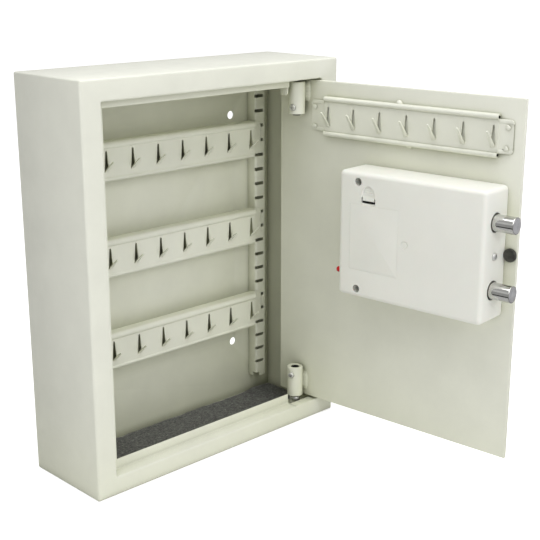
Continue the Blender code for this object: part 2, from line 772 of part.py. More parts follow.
def make_bolt_carriage():
    """Cross bar behind the bolts, and the slotted arm that the cam drives."""
    cross_u = (BOLT_TAIL_U - GAP - 5.7, BOLT_TAIL_U - GAP)
    rest_pin_u = SPINDLE_U + CAM_PIN_RADIUS * sin(CAM_REST)
    rest_pin_z = MID_Z + CAM_PIN_RADIUS * cos(CAM_REST)
    top_z = MID_Z + 18.5

    def cross_bar(bm):
        add_box(bm, door, (cross_u[0], 5, 171), (cross_u[1], 25.6, 252))

    def arm(bm):
        low = (SPINDLE_U - SPINDLE_R - 4, ARM_W[0], MID_Z - 11)
        add_box(bm, door, low, (cross_u[0] + 1, ARM_W[1], top_z))

    def spindle_slot(bm):
        reach = SPINDLE_R + 0.5
        low = (SPINDLE_U - reach, ARM_W[0] - 2, MID_Z - reach)
        add_box(bm, door, low, (SPINDLE_U + BOLT_THROW + reach, ARM_W[1] + 2, MID_Z + reach))

    def pin_slot(bm):
        half = CAM_PIN_R + 0.4
        low = (rest_pin_u - half, ARM_W[0] - 2, rest_pin_z - half)
        high = (rest_pin_u + half, ARM_W[1] + 2, MID_Z + CAM_PIN_RADIUS + half)
        add_box(bm, door, low, high)

    def plunger_notch(bm):
        half = PLUNGER_R + 0.5
        low = (SOLENOID_U - half, ARM_W[0] - 2, top_z - PLUNGER_TRAVEL)
        add_box(bm, door, low, (SOLENOID_U + half, ARM_W[1] + 2, top_z + 3))

    piece(
        "bolt_carriage", "zinc_steel", cross_bar, HINGE, door(cross_u[0], BOLT_W, MID_Z),
        joins=[arm], cuts=[spindle_slot, pin_slot, plunger_notch],
    )


def make_knob_spindle():
    """Spindle from the knob through the door, with the cam lever and its drive pin."""
    pin_u = SPINDLE_U + CAM_PIN_RADIUS * sin(CAM_REST)
    pin_z = MID_Z + CAM_PIN_RADIUS * cos(CAM_REST)
    lever_w = CAM_W[0]

    def shaft(bm):
        add_cylinder(bm, door, (SPINDLE_U, -27, MID_Z), (SPINDLE_U, CAM_W[1], MID_Z), SPINDLE_R)

    def lever(bm):
        outline = []
        for step in range(9):
            angle = pi * step / 8
            along = Vector((sin(CAM_REST), cos(CAM_REST)))
            across = Vector((cos(CAM_REST), -sin(CAM_REST)))
            tip = along * (CAM_PIN_RADIUS + 4 * sin(angle)) + across * 4 * cos(angle)
            outline.append((SPINDLE_U + tip.x, lever_w, MID_Z + tip.y))
        for step in range(9):
            angle = pi + pi * step / 8
            base = along * 7 * sin(angle) + across * 7 * cos(angle)
            outline.append((SPINDLE_U + base.x, lever_w, MID_Z + base.y))
        add_prism(bm, door, outline, (0, CAM_W[1] - 0.4 - CAM_W[0], 0))

    def drive_pin(bm):
        start, end = (pin_u, ARM_W[0] - 0.5, pin_z), (pin_u, CAM_W[0] + 1, pin_z)
        add_cylinder(bm, door, start, end, CAM_PIN_R, sides=16)

    smooth(
        piece(
            "knob_spindle", "zinc_steel", shaft, HINGE, door(SPINDLE_U, 0, MID_Z),
            joins=[lever, drive_pin],
        )
    )


def make_solenoid():
    u, w = SOLENOID_U, SOLENOID_W
    frame_z = (240, 266)
    wall = 1.5

    def frame(bm):
        add_box(bm, door, (u - 9.3, 2.5, frame_z[0]), (u + 9.3, 19.5, frame_z[1]))

    def frame_window(bm):
        low = (u - 9.3 + wall, 0, frame_z[0] + wall)
        add_box(bm, door, low, (u + 9.3 - wall, 22, frame_z[1] - wall))

    def frame_hole(bm):
        start, end = (u, w, frame_z[0] - 2), (u, w, frame_z[0] + 4)
        add_cylinder(bm, door, start, end, PLUNGER_R + 0.4)

    def coil(bm):
        low, high = frame_z[0] + wall + GAP, frame_z[1] - wall - GAP
        add_cylinder(bm, door, (u, w, low), (u, w, high), 7.4, sides=24)

    def coil_bore(bm):
        start, end = (u, w, frame_z[0] - 2), (u, w, frame_z[1] + 2)
        add_cylinder(bm, door, start, end, PLUNGER_R + 0.4)

    def plunger(bm):
        add_cylinder(bm, door, (u, w, PLUNGER_TIP_Z), (u, w, frame_z[1] - 4), PLUNGER_R)

    def collar(bm):
        add_cylinder(bm, door, (u, w, COLLAR_Z[0]), (u, w, COLLAR_Z[1]), 5)

    piece("solenoid_frame", "zinc_steel", frame, HINGE, cuts=[frame_window, frame_hole])
    smooth(piece("solenoid_coil", "copper", coil, HINGE, cuts=[coil_bore]))
    origin = door(u, w, PLUNGER_TIP_Z)
    smooth(piece("solenoid_plunger", "zinc_steel", plunger, HINGE, origin, joins=[collar]))
    make_coil_spring("plunger_spring", (u, w), (COLLAR_Z[1] + GAP, frame_z[0] - GAP))



def make_coil_spring(name, centre, span):
    """Helical spring standing on end, as a wire along a computed helix."""
    turns, steps, wire, radius = 2.5, 12, 0.4, 4.3
    low, high = span[0] + wire, span[1] - wire
    curve = bpy.data.curves.new(name, "CURVE")
    curve.dimensions = "3D"
    curve.bevel_depth = wire * MM
    curve.bevel_resolution = 0
    curve.use_fill_caps = True
    spline = curve.splines.new("POLY")
    count = int(turns * steps)
    spline.points.add(count)
    for index in range(count + 1):
        angle = 2 * pi * index / steps
        z = low + (high - low) * index / count
        point = door(centre[0] + radius * cos(angle), centre[1] + radius * sin(angle), z)
        spline.points[index].co = (*point, 1)
    curve.materials.append(MATERIALS["zinc_steel"])
    made = bpy.data.objects.new(name, curve)
    made.parent = HINGE
    PARTS.objects.link(made)


def make_batteries():
    wall = 1.2
    low_u, high_u = BATTERY_U[0] - 0.4, BATTERY_U[1] + 0.4
    low_z, high_z = BATTERY_Z[0] - 0.4, BATTERY_Z[1] + 0.4
    floor = 17.8
    pitch = (high_z - low_z) / 4

    def tray(bm):
        low = (low_u - wall, floor, low_z - wall)
        add_box(bm, door, low, (high_u + wall, CASE_W - CASE_WALL - GAP, high_z + wall))

    def tray_hollow(bm):
        add_box(bm, door, (low_u, floor + wall, low_z), (high_u, CASE_W + 5, high_z))

    piece("battery_holder", "dark_plastic", tray, HINGE, cuts=[tray_hollow])
    for index in range(4):
        z = low_z + pitch * (index + 0.5)
        flip = 1 if index % 2 else -1
        middle = (low_u + high_u) / 2
        w = floor + wall + GAP + CELL_R

        def cell(bm, z=z, w=w, flip=flip, middle=middle):
            half = CELL_LENGTH / 2
            start, end = (middle - flip * half, w, z), (middle + flip * half, w, z)
            add_cylinder(bm, door, start, end, CELL_R)

        def terminal(bm, z=z, w=w, flip=flip, middle=middle):
            half = CELL_LENGTH / 2
            start = (middle + flip * (half - 1), w, z)
            add_cylinder(bm, door, start, (middle + flip * (half + 1), w, z), 2.6, sides=16)

        name = f"battery_cell_{index + 1}"
        smooth(piece(name, "cell_wrap", cell, HINGE, edge=(0.4, 1, 60), joins=[terminal]))


def make_battery_cover():
    """Cover that fills the battery window and tilts out about its lower edge."""
    clear = 0.35
    back = CASE_W - 2

    def plate(bm):
        low = (BATTERY_U[0] + clear, back, BATTERY_Z[0] + clear)
        add_box(bm, door, low, (BATTERY_U[1] - clear, CASE_W, BATTERY_Z[1] - clear))

    def latch(bm):
        low = (LATCH_U - LATCH_HALF + 1.2, back, BATTERY_Z[1] - 1)
        add_box(bm, door, low, (LATCH_U + LATCH_HALF - 1.2, back + 0.9, BATTERY_Z[1] + 3))

    origin = door(BATTERY_U[0], CASE_W, BATTERY_Z[0] + clear)
    piece("battery_cover", "case_plastic", plate, HINGE, origin, joins=[latch])


def make_circuit_board():
    def board(bm):
        outline = [
            (80, BOARD_W[0], 167.5), (101, BOARD_W[0], 167.5), (101, BOARD_W[0], 156),
            (170, BOARD_W[0], 156), (170, BOARD_W[0], 177.2), (80, BOARD_W[0], 177.2),
        ]
        add_prism(bm, door, outline, (0, BOARD_W[1] - BOARD_W[0], 0))

    def fittings(bm):
        """Reset switch, controller, relay and capacitor, sunk a little into the board."""
        base = BOARD_W[1] - 0.4
        for low, high, height in (
            ((81, 169.8), (90, 177), 6.6),
            ((108, 160), (122, 170), 1.6),
            ((128, 158.5), (140, 166.5), 6.4),
        ):
            add_box(bm, door, (low[0], base, low[1]), (high[0], base + height, high[1]))
        add_cylinder(bm, door, (162, base, 165), (162, base + 6.6, 165), 3.4, sides=16)

    def cable_socket(bm):
        add_box(bm, door, (145, 22.2, 163), (155, BOARD_W[0] + 0.4, 170))

    piece("circuit_board", "board", board, HINGE, joins=[fittings, cable_socket])


def make_reset_button():
    def stem(bm):
        start, end = (CASE_U[0] - 5.6, RESET_W, RESET_Z), (78.4, RESET_W, RESET_Z)
        add_cylinder(bm, door, start, end, RESET_R)

    origin = door(CASE_U[0], RESET_W, RESET_Z)
    smooth(piece("reset_button", "red_plastic", stem, HINGE, origin, edge=(0.5, 1, 60)))


# ------------------------------------------------------------------ keypad unit


def rounded_outline(low, high, w, radius, steps=4):
    """A rounded rectangle's outline in the door's plane."""
    corners = (
        (high[0] - radius, high[1] - radius, 0), (low[0] + radius, high[1] - radius, 1),
        (low[0] + radius, low[1] + radius, 2), (high[0] - radius, low[1] + radius, 3),
    )
    outline = []
    for u, z, quarter in corners:
        for step in range(steps + 1):
            angle = pi / 2 * (quarter + step / steps)
            outline.append((u + radius * cos(angle), w, z + radius * sin(angle)))
    return outline


def key_centres():
    for index, label in enumerate(KEY_LABELS):
        row, column = divmod(index, 3)
        yield label, KEY_U + (1 - column) * KEY_PITCH_U, KEY_Z + (1.5 - row) * KEY_PITCH_Z


def make_keypad_housing():
    low, high = (UNIT_U[0], UNIT_Z[0]), (UNIT_U[1], UNIT_Z[1])
    front, back = UNIT_W

    def body(bm):
        add_prism(bm, door, rounded_outline(low, high, front, 9), (0, back - front, 0))
        outer = door(0, front, 0).y + 1e-6
        rim = [e for e in bm.edges if all(v.co.y < outer for v in e.verts)]
        bmesh.ops.bevel(bm, geom=rim, offset=2 * MM, segments=1, profile=0.5, affect="EDGES")

    def hollow(bm):
        wall = UNIT_WALL
        inner_low, inner_high = (low[0] + wall, low[1] + wall), (high[0] - wall, high[1] - wall)
        outline = rounded_outline(inner_low, inner_high, front + wall, 6.5)
        add_prism(bm, door, outline, (0, back - front + 3, 0))

    def key_windows(bm):
        half_u, half_z = KEY_SIZE[0] / 2 + 0.35, KEY_SIZE[1] / 2 + 0.35
        for _, u, z in key_centres():
            add_box(bm, door, (u - half_u, front - 3, z - half_z), (u + half_u, front + 5, z + half_z))

    def round_holes(bm):
        for u, z, radius in (
            (SPINDLE_U, MID_Z, SPINDLE_R + 1),
            (OVERRIDE_U, MID_Z, OVERRIDE_BODY_R + GAP),
            (OVERRIDE_U, COVER_PIVOT_Z, 1.8),
        ):
            add_cylinder(bm, door, (u, front - 3, z), (u, front + 5, z), radius)

    def lens_window(bm):
        half_u, half_z = LENS_SIZE[0] / 2 + 0.3, LENS_SIZE[1] / 2 + 0.3
        low_corner = (SPINDLE_U - half_u, front - 3, LENS_Z - half_z)
        add_box(bm, door, low_corner, (SPINDLE_U + half_u, front + 5, LENS_Z + half_z))

    piece(
        "keypad_housing", "dark_plastic", body, HINGE,
        cuts=[hollow, key_windows, round_holes, lens_window],
    )



def make_indicator_window():
    def lens(bm):
        half_u, half_z = LENS_SIZE[0] / 2, LENS_SIZE[1] / 2
        low = (SPINDLE_U - half_u, UNIT_W[0] - 0.4, LENS_Z - half_z)
        add_box(bm, door, low, (SPINDLE_U + half_u, UNIT_W[0] + 3, LENS_Z + half_z))

    piece("indicator_window", "lens", lens, HINGE, edge=(0.4, 1))


def make_keys():
    for label, u, z in key_centres():
        half_u, half_z = KEY_SIZE[0] / 2, KEY_SIZE[1] / 2

        def cap(bm, u=u, z=z, half_u=half_u, half_z=half_z):
            low, high = (u - half_u, z - half_z), (u + half_u, z + half_z)
            outline = rounded_outline(low, high, KEY_W[0], 2, steps=2)
            add_prism(bm, door, outline, (0, KEY_W[1] - KEY_W[0], 0))

        piece(f"key_{label}", "key_plastic", cap, HINGE, door(u, KEY_W[0], z))


def make_knob():
    front, back = -33, UNIT_W[0] - GAP - 0.2

    def base(bm):
        start, end = (SPINDLE_U, back, MID_Z), (SPINDLE_U, back - 5, MID_Z)
        add_cylinder(bm, door, start, end, 17.5, end_radius=16, sides=32)

    def grip(bm):
        low, high = (SPINDLE_U - 5, MID_Z - 15.5), (SPINDLE_U + 5, MID_Z + 15.5)
        outline = rounded_outline(low, high, front, 4.8, steps=4)
        add_prism(bm, door, outline, (0, back - 3 - front, 0))

    def bore(bm):
        start, end = (SPINDLE_U, -27.4, MID_Z), (SPINDLE_U, back + 3, MID_Z)
        add_cylinder(bm, door, start, end, SPINDLE_R + GAP)

    origin = door(SPINDLE_U, 0, MID_Z)
    smooth(piece("knob", "dark_plastic", base, HINGE, origin, joins=[grip], cuts=[bore]))


def make_override_lock():
    u = OVERRIDE_U
    body_w = (UNIT_W[0] + 0.6, 12)
    plug_w = (UNIT_W[0] + 1.2, 14.8)

    def body(bm):
        add_cylinder(bm, door, (u, body_w[0], MID_Z), (u, body_w[1], MID_Z), OVERRIDE_BODY_R, sides=24)

    def body_bore(bm):
        start, end = (u, body_w[0] - 2, MID_Z), (u, body_w[1] + 2, MID_Z)
        add_cylinder(bm, door, start, end, OVERRIDE_PLUG_R + GAP)

    def plug(bm):
        add_cylinder(bm, door, (u, plug_w[0], MID_Z), (u, plug_w[1], MID_Z), OVERRIDE_PLUG_R)

    def cam(bm):
        low = (u - 4, plug_w[1] - 1.9, MID_Z - 15)
        add_box(bm, door, low, (u + 4, plug_w[1] - 0.3, MID_Z + 2))

    def keyway(bm):
        low = (u - 0.8, plug_w[0] - 3, MID_Z - 4)
        add_box(bm, door, low, (u + 0.8, plug_w[0] + 12, MID_Z + 4))

    smooth(piece("override_cylinder", "brass", body, HINGE, cuts=[body_bore]))
    origin = door(u, 0, MID_Z)
    smooth(piece("override_plug", "brass", plug, HINGE, origin, joins=[cam], cuts=[keyway]))


def make_override_cover():
    """Teardrop cover over the keyhole, swinging on a pin above it."""
    front = UNIT_W[0] - GAP - 2
    drop = COVER_PIVOT_Z - MID_Z

    def plate(bm):
        outline = []
        for step in range(17):
            angle = pi + pi * step / 16
            outline.append((OVERRIDE_U + 11.5 * cos(angle), front, MID_Z + 11.5 * sin(angle)))
        for step in range(9):
            angle = pi * step / 8
            outline.append((OVERRIDE_U + 5.5 * cos(angle), front, MID_Z + drop + 5.5 * sin(angle)))
        add_prism(bm, door, outline, (0, 2, 0))

    def pivot(bm):
        start, end = (OVERRIDE_U, front + 1, COVER_PIVOT_Z), (OVERRIDE_U, -13, COVER_PIVOT_Z)
        add_cylinder(bm, door, start, end, 1.5, sides=16)

    origin = door(OVERRIDE_U, 0, COVER_PIVOT_Z)
    piece("override_cover", "dark_plastic", plate, HINGE, origin, joins=[pivot])


def make_keypad_cable():
    """Round cable from the keypad through the door to the circuit board's socket."""
    route = [
        (176, -9, CABLE_HOLE_Z), (160, -9, CABLE_HOLE_Z), (157, -7.5, CABLE_HOLE_Z),
        (CABLE_HOLE_U, -4, CABLE_HOLE_Z), (CABLE_HOLE_U, 5, CABLE_HOLE_Z),
        (154, 10, 178), (151, 15, 170), (150, 18, 167), (150, 21.9, 166.5),
    ]
    curve = bpy.data.curves.new("keypad_cable", "CURVE")
    curve.dimensions = "3D"
    curve.bevel_depth = 1.6 * MM
    curve.bevel_resolution = 2
    curve.use_fill_caps = True
    spline = curve.splines.new("POLY")
    spline.points.add(len(route) - 1)
    for point, place in zip(spline.points, route):
        point.co = (*door(*place), 1)
    curve.materials.append(MATERIALS["rubber"])
    made = bpy.data.objects.new("keypad_cable", curve)
    made.parent = HINGE
    PARTS.objects.link(made)


AXIS = cabinet(AXIS_X, AXIS_Y, 0)
HINGE = empty("door_axis", Vector((AXIS.x, AXIS.y, 0)), turn=radians(DOOR_OPEN))

make_shell()
make_back_panel()
make_standard("standard_right", STANDARD_X, 1)
make_standard("standard_left", CAB_W - STANDARD_X, -1)
make_inner_bars()
make_felt_mat()
make_hinge_bracket("hinge_bracket_top", OPEN_TOP, (331, OPEN_TOP + 1))
make_hinge_bracket("hinge_bracket_bottom", LOW_BRACKET_Z)

make_door_panel()
make_hinge("top", TUBE_TOP_Z, (315.5, OPEN_TOP + BRACKET_T + 1), (OPEN_TOP + BRACKET_T + GAP, 352), 319)
low_head_z = LOW_BRACKET_Z - GAP
make_hinge("bottom", TUBE_BOTTOM_Z, (LOW_BRACKET_Z - 1, 49.5), (low_head_z - 2.2, low_head_z), 45)
make_door_hook_bar()
make_rubber_buffer()

make_lock_case()
make_case_screws()
make_case_side_screw()
make_lock_base_plate()
make_bolt_guide()
make_bolts()
make_bolt_carriage()
make_knob_spindle()
make_solenoid()
make_batteries()
make_battery_cover()
make_circuit_board()
make_reset_button()

make_keypad_housing()
make_indicator_window()
make_keys()
make_knob()
make_override_lock()
make_override_cover()
make_keypad_cable()
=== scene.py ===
"""The looks of a wall key cabinet whose door stands open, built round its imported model.

World axes: +X to the right seen from the front, +Y towards the wall, +Z up, in metres.
Sizes in this file are millimetres. Cabinet sizes (x, y, z) count from the left outer
face, the front face and the underside. Door sizes (u, w, z) count from the hinge axis
along the door, from the door's inner face into the cabinet, and up from the underside.

A shape is a function that adds faces to a mesh. It takes the mesh and the function that
turns a place in millimetres into metres. A piece is made of one shape or a list of them.
"""

import json
from math import cos, pi, radians, sin
from random import Random

import bmesh
import bpy
from mathutils import Matrix, Vector, noise


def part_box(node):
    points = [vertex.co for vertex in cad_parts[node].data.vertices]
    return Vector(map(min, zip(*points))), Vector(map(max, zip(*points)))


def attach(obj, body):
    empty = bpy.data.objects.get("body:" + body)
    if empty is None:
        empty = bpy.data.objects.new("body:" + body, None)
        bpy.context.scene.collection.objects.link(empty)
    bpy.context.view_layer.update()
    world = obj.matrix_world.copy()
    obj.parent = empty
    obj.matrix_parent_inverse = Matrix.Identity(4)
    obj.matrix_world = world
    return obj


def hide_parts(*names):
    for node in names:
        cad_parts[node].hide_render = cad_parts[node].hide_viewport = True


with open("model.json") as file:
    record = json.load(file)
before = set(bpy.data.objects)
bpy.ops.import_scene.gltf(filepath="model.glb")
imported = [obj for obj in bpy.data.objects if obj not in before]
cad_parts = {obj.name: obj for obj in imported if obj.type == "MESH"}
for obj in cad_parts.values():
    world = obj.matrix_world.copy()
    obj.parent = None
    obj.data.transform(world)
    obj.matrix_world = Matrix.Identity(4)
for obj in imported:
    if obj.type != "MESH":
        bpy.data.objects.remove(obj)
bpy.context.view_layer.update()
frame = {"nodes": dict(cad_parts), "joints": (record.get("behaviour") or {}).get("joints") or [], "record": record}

MM = 0.001
JOINTS = {joint["name"]: joint for joint in frame["joints"]}

# ------------------------------------------------------------------ sizes

CAB_W, CAB_D, CAB_H = 298, 96, 365
SHEET = 1.5
FOLD_R = 2.0
FLANGE = {"left": 20, "right": 21.5, "low": 17.5, "high": 18.5}
STOP_Y, STOP_END_X, SILL_END_X = 12.3, 245, 276.4
STOP_RISE = {"low": 9.5, "high": 7.2}
AXIS_TO_FACE = 9
DOOR_U, DOOR_Z, DOOR_T = (-27.5, 238.5), (20, 345), 3.5
WALL_HOLES = [(x, z) for x in (54, CAB_W - 54) for z in (64, 305)]
STANDARD_X, STANDARD_W, STANDARD_FRONT, STANDARD_Z = 268, 12, 83.5, (21, 340)
SLOT_FOOT, SLOT_PITCH, SLOT_COUNT = 38, 15, 20
BAR_FACE, BAR_REAR, BAR_END, BAR_TIP = 74.5, 82.7, 40.5, 24.5
BAR_Z = {"top": 282, "middle": 192, "bottom": 102}
DOOR_BAR_MIDDLE, DOOR_BAR_Z = 122.5, 312
DOOR_BAR_ENDS, DOOR_BAR_TIPS = (29.5, 215.5), (12.5, 229)
HOOK_PITCH, SLOT_HEIGHT = 29.5, 19.5
INNER_HOOK, DOOR_HOOK = (17.5, radians(47)), (21, radians(38))
TUBES = {"top": (312.5, 343.5), "bottom": (21.5, 52.5)}
WELD_RUNS = {"top": (343.5, 324), "bottom": (26, 46)}
SET_SCREWS = {"top": 319, "bottom": 45}
TUBE_R, TUBE_BORE_R, SET_SCREW_R = 8, 4.5, 3
SET_SCREW_TURN = radians(9)
TOP_PLATE_Z, LOW_PLATE_Z, PLATE_T = 346.5, 9, 3
PLATE_X, PLATE_Y, TAB_Y, TAB_FOOT = (247, 296), (2.2, 29), (17.2, 26.4), 331
PIN_X, PIN_Y, PIN_TIPS = 261, 18, {"top": 311, "bottom": 52.2}
CASE_U, CASE_Z, CASE_W, CASE_WALL = (73.5, 226.7), (153, 271), 36.3, 2.5
CASE_SCREW_U, CASE_SCREWS_Z = 95, {"lower": 161, "upper": 262}
MID_Z = 211.5
BOLTS = {"lower": MID_Z - 30, "upper": MID_Z + 30}
BOLT_W, BOLT_R, BOLT_TIP, BOLT_TAIL = 18.3, 7.5, 246.5, 196
RESET_U, RESET_W, RESET_Z = 78.4, 29.4, 174
BUFFER_U, BUFFER_Z, BUFFER_R = 232.5, 210.3, 6.0
BATTERY_U, BATTERY_Z, CELL_W = (86.5, 139.5), (179.5, 241.5), 26.4
LATCH_U, LATCH_HALF, LATCH_TOP = 106.4, 7.9, 248.6
SPINDLE_U, SPINDLE_HOLE_R = 147, 5
OVERRIDE_U, OVERRIDE_HOLE_R, COVER_PIVOT_Z = 108, 9.3, 229
CABLE_HOLE = (156, 181, 5)
UNIT_U, UNIT_Z, UNIT_FRONT, UNIT_BACK = (84, 214), (172, 251), -17, -3.8
KEY_U, KEY_PITCH, KEY_SIZE, KEY_TOP, KEY_BACK = 188, (14.5, 16), (11.5, 12), -18.8, -13.5
KEY_LABELS = ("1", "2", "3", "4", "5", "6", "7", "8", "9", "star", "0", "hash")
PRINTED = {"star": "*", "hash": "#"}
LENS_Z, LENS_SIZE = 241, (20, 6)

# ------------------------------------------------------------------ frames of reference

UP = Vector((0, 0, 1))
U_AXIS = Vector(JOINTS["bolt_slide"]["axis"]).normalized()
W_AXIS = Vector(JOINTS["key_1_press"]["axis"]).normalized()
HINGE = Vector(JOINTS["door_hinge"]["pos_m"])


def axes_matrix(x, y, z, origin):
    """A matrix from three axes and an origin."""
    matrix = Matrix((x, y, z)).transposed().to_4x4()
    matrix.translation = origin
    return matrix


def at_cabinet(x, y, z):
    return Vector((x - CAB_W / 2, y - CAB_D, z - CAB_H / 2)) * MM


def at_door(u, w, z):
    return Vector((-u, w - AXIS_TO_FACE, z - CAB_H / 2)) * MM


DOOR_MATRIX = axes_matrix(-U_AXIS, W_AXIS, UP, Vector((HINGE.x, HINGE.y, 0)))
CABINET = (at_cabinet, Matrix.Identity(4))
DOOR = (at_door, DOOR_MATRIX)

# ------------------------------------------------------------------ node materials


def fill(tree, node, inputs):
    """Gives each input its number or colour, or links it to an output."""
    for key, value in inputs.items():
        socket = node.inputs[key]
        if isinstance(value, bpy.types.NodeSocket):
            tree.links.new(value, socket)
        else:
            socket.default_value = (*value, 1) if socket.type == "RGBA" else value


def add_node(tree, kind, inputs=None, **settings):
    node = tree.nodes.new("ShaderNode" + kind)
    for key, value in settings.items():
        setattr(node, key, value)
    fill(tree, node, inputs or {})
    return node


def graph(name):
    """A new material with its node tree, Principled shader and object coordinates."""
    material = bpy.data.materials.new(name)
    material.use_nodes = True
    tree = material.node_tree
    coords = add_node(tree, "TexCoord").outputs["Object"]
    return material, tree, tree.nodes["Principled BSDF"], coords


def noise_node(tree, coords, scale, detail=3, rough=0.5, stretch=None):
    """Noise whose features are about 1/scale metres, stretched along an axis if asked."""
    if stretch:
        coords = add_node(tree, "Mapping", {"Vector": coords, "Scale": stretch}).outputs["Vector"]
    inputs = {"Vector": coords, "Scale": scale, "Detail": detail, "Roughness": rough}
    return add_node(tree, "TexNoise", inputs).outputs["Fac"]


def ramp(tree, value, low, high, from_low=0.35, from_high=0.65):
    """Maps a value between two limits onto two numbers."""
    return add_node(tree, "MapRange", {
        "Value": value, "From Min": from_low, "From Max": from_high, "To Min": low, "To Max": high,
    }).outputs["Result"]


def blend_colour(tree, factor, first, second, blend_type="MIX"):
    """Mixes two colours, each a tuple or an output, by a number or an output."""
    node = add_node(tree, "Mix", data_type="RGBA", blend_type=blend_type)
    fill(tree, node, {0: factor, 6: first, 7: second})
    return node.outputs[2]


def add_bump(tree, height, distance, under=None):
    """A bumped normal, laid over another one if given."""
    inputs = {"Height": height, "Distance": distance, "Strength": 1}
    if under:
        inputs["Normal"] = under
    return add_node(tree, "Bump", inputs).outputs["Normal"]


def edge_mask(tree, radius):
    """1 on edges and 0 on flats, from how far a rounded normal leans from the true one."""
    rounded = add_node(tree, "Bevel", {"Radius": radius}, samples=4).outputs["Normal"]
    true = add_node(tree, "NewGeometry").outputs["Normal"]
    dot = add_node(tree, "VectorMath", {0: rounded, 1: true}, operation="DOT_PRODUCT")
    return ramp(tree, dot.outputs["Value"], 1, 0, 0.86, 0.995)


def occlusion_blend(tree, colour, shade, distance, samples):
    """Paints shade into a colour: multiplies it by a shade where neighbours within a distance hem the surface in.
    """
    occlusion = add_node(tree, "AmbientOcclusion", {"Distance": distance}, samples=samples)
    hemmed = ramp(tree, occlusion.outputs["AO"], 1, 0, 0.05, 0.85)
    return blend_colour(tree, hemmed, colour, shade, "MULTIPLY")


def paint_crevice_shade(tree, colour, depth):
    """Painted shade: darker in narrow gaps and corners where shade falls, and a painted olive tint of light
    bounced about inside.
    """
    gap_shade = [1 - depth * (1 - level) for level in (0.16, 0.165, 0.09)]
    colour = occlusion_blend(tree, colour, gap_shade, 0.009, 5)
    return occlusion_blend(tree, colour, (1.03, 1.04, 0.9), 0.16, 4)


def coated(name, colour, roughness, mottle=0.03, peel=(620, 1.2e-5), wear=0.1, wear_colour=None,
           spec=0.5, subsurface=0.0, painted_shade=0.0):
    """Paint or moulded plastic: a mottled colour, a fine skin, edges rubbed by use, and painted shade in gaps and
    corners if asked.
    """
    material, tree, shader, coords = graph(name)
    clouds = ramp(tree, noise_node(tree, coords, 28, 5, 0.6), 0, 1, 0.3, 0.7)
    base = blend_colour(tree, clouds, [c * (1 - mottle * 2) for c in colour], colour)
    specks = ramp(tree, noise_node(tree, coords, 2400, 2), 0, 0.5, 0.66, 0.8)
    base = blend_colour(tree, specks, base, [c * 0.82 for c in colour])
    patches = ramp(tree, noise_node(tree, coords, 160, 6, 0.7), 0, wear, 0.45, 0.7)
    rubbed = add_node(tree, "Math", {0: edge_mask(tree, 0.0007), 1: patches}, operation="MULTIPLY")
    worn = wear_colour or [min(1, c * 1.12 + 0.02) for c in colour]
    finish = blend_colour(tree, rubbed.outputs[0], base, worn)
    smears = noise_node(tree, coords, 90, 4, 0.65)
    peel_bump = add_bump(tree, noise_node(tree, coords, peel[0], 2, 0.45), peel[1])
    grain = noise_node(tree, coords, peel[0] * 5, 2)
    # Painted shade in gaps and corners goes into the base colour when asked.
    fill(tree, shader, {
        "Base Color": paint_crevice_shade(tree, finish, painted_shade) if painted_shade else finish,
        "Roughness": ramp(tree, smears, roughness * 0.86, roughness * 1.16),
        "Normal": add_bump(tree, grain, peel[1] * 0.25, peel_bump),
        "Specular IOR Level": spec, "Subsurface Weight": subsurface, "Subsurface Scale": 0.002,
    })
    return material


def metal(name, colour, roughness, grain=(900, (1, 1, 1)), depth=4e-6, stain=0.15):
    """Bare or plated metal with fine tool marks, faint stains and uneven polish."""
    material, tree, shader, coords = graph(name)
    blotch = ramp(tree, noise_node(tree, coords, 140, 5, 0.7), 0, 1, 0.4, 0.75)
    marks = noise_node(tree, coords, grain[0], 3, 0.6, grain[1])
    fill(tree, shader, {
        "Metallic": 1,
        "Base Color": blend_colour(tree, blotch, colour, [c * (1 - stain) for c in colour]),
        "Roughness": ramp(tree, marks, roughness * 0.7, roughness * 1.4),
        "Normal": add_bump(tree, marks, depth),
    })
    return material


def felt_material():
    """Needle felt: dark grey fibres with paler flecks, matted in soft lumps."""
    material, tree, shader, coords = graph("felt")
    dark, mid, pale = (0.02, 0.021, 0.018), (0.12, 0.123, 0.11), (0.36, 0.36, 0.33)
    fibres = noise_node(tree, coords, 300, 5, 0.75, (1, 2.2, 1))
    lumps = ramp(tree, noise_node(tree, coords, 60, 3, 0.6), 0, 0.3, 0.4, 0.7)
    flecks = ramp(tree, noise_node(tree, coords, 560, 4, 0.8), 0, 0.85, 0.57, 0.68)
    base = blend_colour(tree, ramp(tree, fibres, 0, 1, 0.42, 0.6), dark, mid)
    base = blend_colour(tree, lumps, base, dark)
    matted = add_bump(tree, noise_node(tree, coords, 260, 4, 0.7), 4e-4)
    fill(tree, shader, {
        "Base Color": blend_colour(tree, flecks, base, pale), "Roughness": 0.95,
        "Sheen Weight": 0.25, "Sheen Roughness": 0.6, "Specular IOR Level": 0.15,
        "Normal": add_bump(tree, fibres, 3e-4, matted),
    })
    return material


def board_material():
    """Green solder mask with paler copper tracks showing under it."""
    material, tree, shader, coords = graph("board")
    cells = add_node(tree, "TexBrick", {
        "Vector": coords, "Scale": 160, "Mortar Size": 0.06, "Color1": (0.02, 0.13, 0.045),
        "Color2": (0.015, 0.1, 0.035), "Mortar": (0.07, 0.27, 0.1),
    })
    fill(tree, shader, {
        "Base Color": cells.outputs["Color"],
        "Roughness": ramp(tree, noise_node(tree, coords, 200), 0.25, 0.4),
        "Normal": add_bump(tree, cells.outputs["Fac"], 2e-5),
    })
    return material


def winding_material():
    """Enamelled copper wire laid round a coil in close turns."""
    material, tree, shader, coords = graph("copper")
    turns = add_node(tree, "TexWave", {"Vector": coords, "Scale": 500, "Distortion": 0.4},
                     bands_direction="Z").outputs["Fac"]
    fill(tree, shader, {
        "Base Color": blend_colour(tree, turns, (0.2, 0.06, 0.02), (0.62, 0.25, 0.09)),
        "Metallic": 0.7, "Roughness": 0.35, "Normal": add_bump(tree, turns, 8e-5),
    })
    return material


